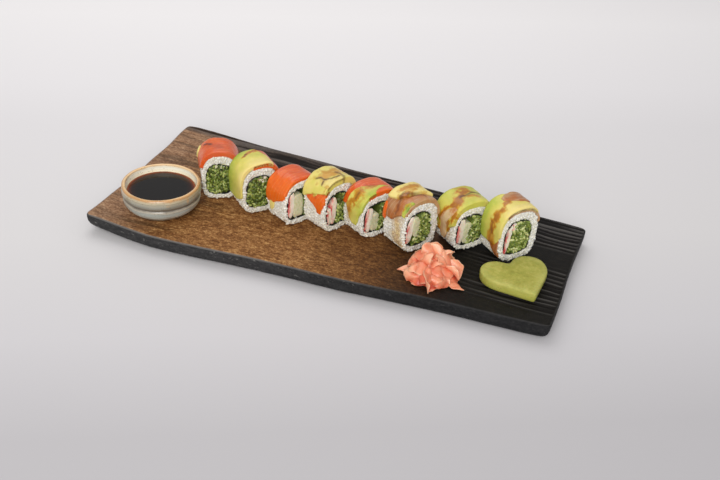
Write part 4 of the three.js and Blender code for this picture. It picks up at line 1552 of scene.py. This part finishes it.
def make_heart():
    """The heart with its rounded edge, pressed in a little in the middle of its top."""
    line = heart_outline(44)
    centre = np.array([-HEART_SIDE / 2, HEART_SIDE / 2])
    step = np.roll(line, -1, 0) - np.roll(line, 1, 0)
    inward = np.stack([-step[:, 1], step[:, 0]], -1)
    inward /= np.linalg.norm(inward, axis=1)[:, None]
    rings = []
    for inset, height in HEART_LAYERS:
        rings.append(np.column_stack([line + inward * inset, np.full(len(line), height)]))
    top = rings[-1][:, :2]
    for share in HEART_TOP_SHARES:
        rings.append(np.column_stack([centre + (top - centre) * share, np.full(len(line), HEART_THICK)]))
    rings = np.array(rings)
    rings[0, :, :2] = centre + (rings[0, :, :2] - centre) * 0.9
    x, y, z = rings[..., 0], rings[..., 1], rings[..., 2]
    press = 0.35 * waves(951, x / 9, y / 9) + 0.15 * waves(952, x / 3, y / 3)
    sag = -0.5 * np.exp(-(((x + 16) / 9) ** 2) - ((y - 15) / 8) ** 2)
    rings[..., 2] = z + (press + sag) * ease(z, 4, 8.4)
    bulge = 0.3 * waves(953, x / 6, z / 3) * ease(z, 0.5, 2) * (1 - ease(z, 7, 8.4))
    rings[:, :, 0] += bulge
    rings[:, :, 1] -= bulge
    # edge marks the rim of the top for a painted highlight; side marks the walls, painted lighter as lit from
    # the front.
    edge = ease(z, 5.8, 8.0) * (1 - ease(np.arange(len(rings))[:, None] + 0 * x, 8.5, 10.5))
    side = 1 - ease(z, 5.5, 7.8)
    c, s = math.cos(math.radians(HEART_TURN)), math.sin(math.radians(HEART_TURN))
    x, y, z = rings[..., 0], rings[..., 1], rings[..., 2]
    turned = np.stack([c * x - s * y, s * x + c * y, z], -1)
    tip = [*(board_shift[:2] + HEART_TIP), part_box("wasabi_heart")[0].z / MM]
    shell = Shell("edge", "side")
    shell.lathe((turned + tip) * MM, edge=edge, side=side)
    return shell


def heart_finish():
    """Wasabi paste, olive green and grainy, with painted light: lighter down its sides and a painted
    highlight along the edge of its top.
    """
    finish = moist("wasabi paste", 0.3, 0.08, 0.002)
    edge, side = finish.marks("edge", "side")
    cloud = finish.noise(75, 4, 0.6)
    fine = finish.noise(480, 3, 0.65)
    colour = finish.ramp(
        cloud * 0.6 + fine * 0.4, (0.34, 144, 144, 58), (0.50, 168, 165, 76), (0.66, 190, 184, 100),
    )
    # side paints the walls lighter and edge paints a highlight on the top's rim: painted light.
    colour = finish.coats(
        colour, (side * 0.6, 184, 184, 82), (edge * 0.15, 206, 208, 132),
        (cloud.above(0.62, 0.74) * 0.3, 184, 150, 62),
    )
    dark = fine.above(0.6, 0.68) * side * 0.7
    colour = finish.mix(dark, colour, paint(84, 84, 40))
    finish.wear(Base_Color=colour, Roughness=0.55 + fine * 0.2)
    finish.bump(fine * 0.6 + cloud * 0.4, 0.0005, 0.6)
    return finish


serve(make_heart().piece("wasabi_heart_shaped", heart_finish(), 60), "wasabi", "wasabi_heart")


# ---------------------------------------------------------------- floor, light and camera


FLOOR_REACH = 6.0
FLOOR_SLANT = 0.536
SKY_COLOUR = (1.0, 0.985, 0.985, 1)
SKY_STRENGTH = 0.48
SENSOR_WIDTH = 36


def make_floor():
    """A level pale floor that darkens towards the front, out of the light."""
    finish = Finish("pale floor", Roughness=0.6, Specular_IOR_Level=0.3)
    far = (finish.axis("Y") - finish.axis("X") * FLOOR_SLANT).above(-0.6, 0.65)
    pale = finish.ramp(
        far, (0.0, 172, 170, 173), (0.27, 187, 185, 188), (0.36, 206, 204, 207), (0.48, 219, 217, 218),
        (0.67, 229, 227, 229), (0.76, 238, 236, 238), (0.96, 250, 248, 249),
    )
    finish.wear(Base_Color=pale)
    mesh = bpy.data.meshes.new("floor")
    corners = [(x * FLOOR_REACH, y * FLOOR_REACH, 0) for x, y in ((-1, -1), (1, -1), (1, 1), (-1, 1))]
    mesh.from_pydata(corners, [], [(0, 1, 2, 3)])
    mesh.materials.append(finish.material)
    floor = bpy.data.objects.new("floor", mesh)
    bpy.context.scene.collection.objects.link(floor)


def add_light(name, place, size, power, colour):
    """A round area light, aimed at the platter's middle; place and size in metres, power in watts."""
    lamp = bpy.data.lights.new(name, "AREA")
    lamp.shape = "DISK"
    lamp.size = size
    lamp.energy = power
    lamp.color = colour
    holder = bpy.data.objects.new(name, lamp)
    holder.location = place
    holder.rotation_mode = "QUATERNION"
    holder.rotation_quaternion = (-Vector(place)).to_track_quat("-Z", "Y")
    bpy.context.scene.collection.objects.link(holder)


def make_world():
    """An even, nearly white surround."""
    world = bpy.data.worlds.new("studio")
    world.use_nodes = True
    background = world.node_tree.nodes["Background"]
    background.inputs["Color"].default_value = SKY_COLOUR
    background.inputs["Strength"].default_value = SKY_STRENGTH
    bpy.context.scene.world = world


CAMERA_PLACE = (0.23869, -0.60466, 0.4299)
CAMERA_PITCH = 33.76
CAMERA_YAW = -19.59
CAMERA_ROLL = 4.27
CAMERA_LENS = 44.9


def make_camera():
    """The camera at its place, turned by pitch below level, yaw from +Y towards +X, and roll, in degrees."""
    pitch, yaw, roll = (math.radians(a) for a in (CAMERA_PITCH, CAMERA_YAW, CAMERA_ROLL))
    ahead = Vector((math.sin(yaw) * math.cos(pitch), math.cos(yaw) * math.cos(pitch), -math.sin(pitch)))
    level = Vector((math.cos(yaw), -math.sin(yaw), 0))
    above = level.cross(ahead)
    right = level * math.cos(roll) + above * math.sin(roll)
    up = above * math.cos(roll) - level * math.sin(roll)
    turned = Matrix((right, up, -ahead)).transposed().to_4x4()
    data = bpy.data.cameras.new("camera")
    data.lens = CAMERA_LENS
    data.sensor_width = SENSOR_WIDTH
    data.sensor_fit = "HORIZONTAL"
    data.clip_start, data.clip_end = 0.01, 50
    camera = bpy.data.objects.new("camera", data)
    camera.matrix_world = Matrix.Translation(Vector(CAMERA_PLACE)) @ turned
    bpy.context.scene.collection.objects.link(camera)
    bpy.context.scene.camera = camera


make_floor()
make_world()
add_light("key", (0.34, -1.4, 0.95), 1.2, 20, (1.0, 0.99, 0.97))
add_light("top", (-0.5, 0.6, 1.4), 1.4, 7, (1.0, 0.99, 0.98))
make_camera()
bpy.context.scene.view_settings.view_transform = "Standard"
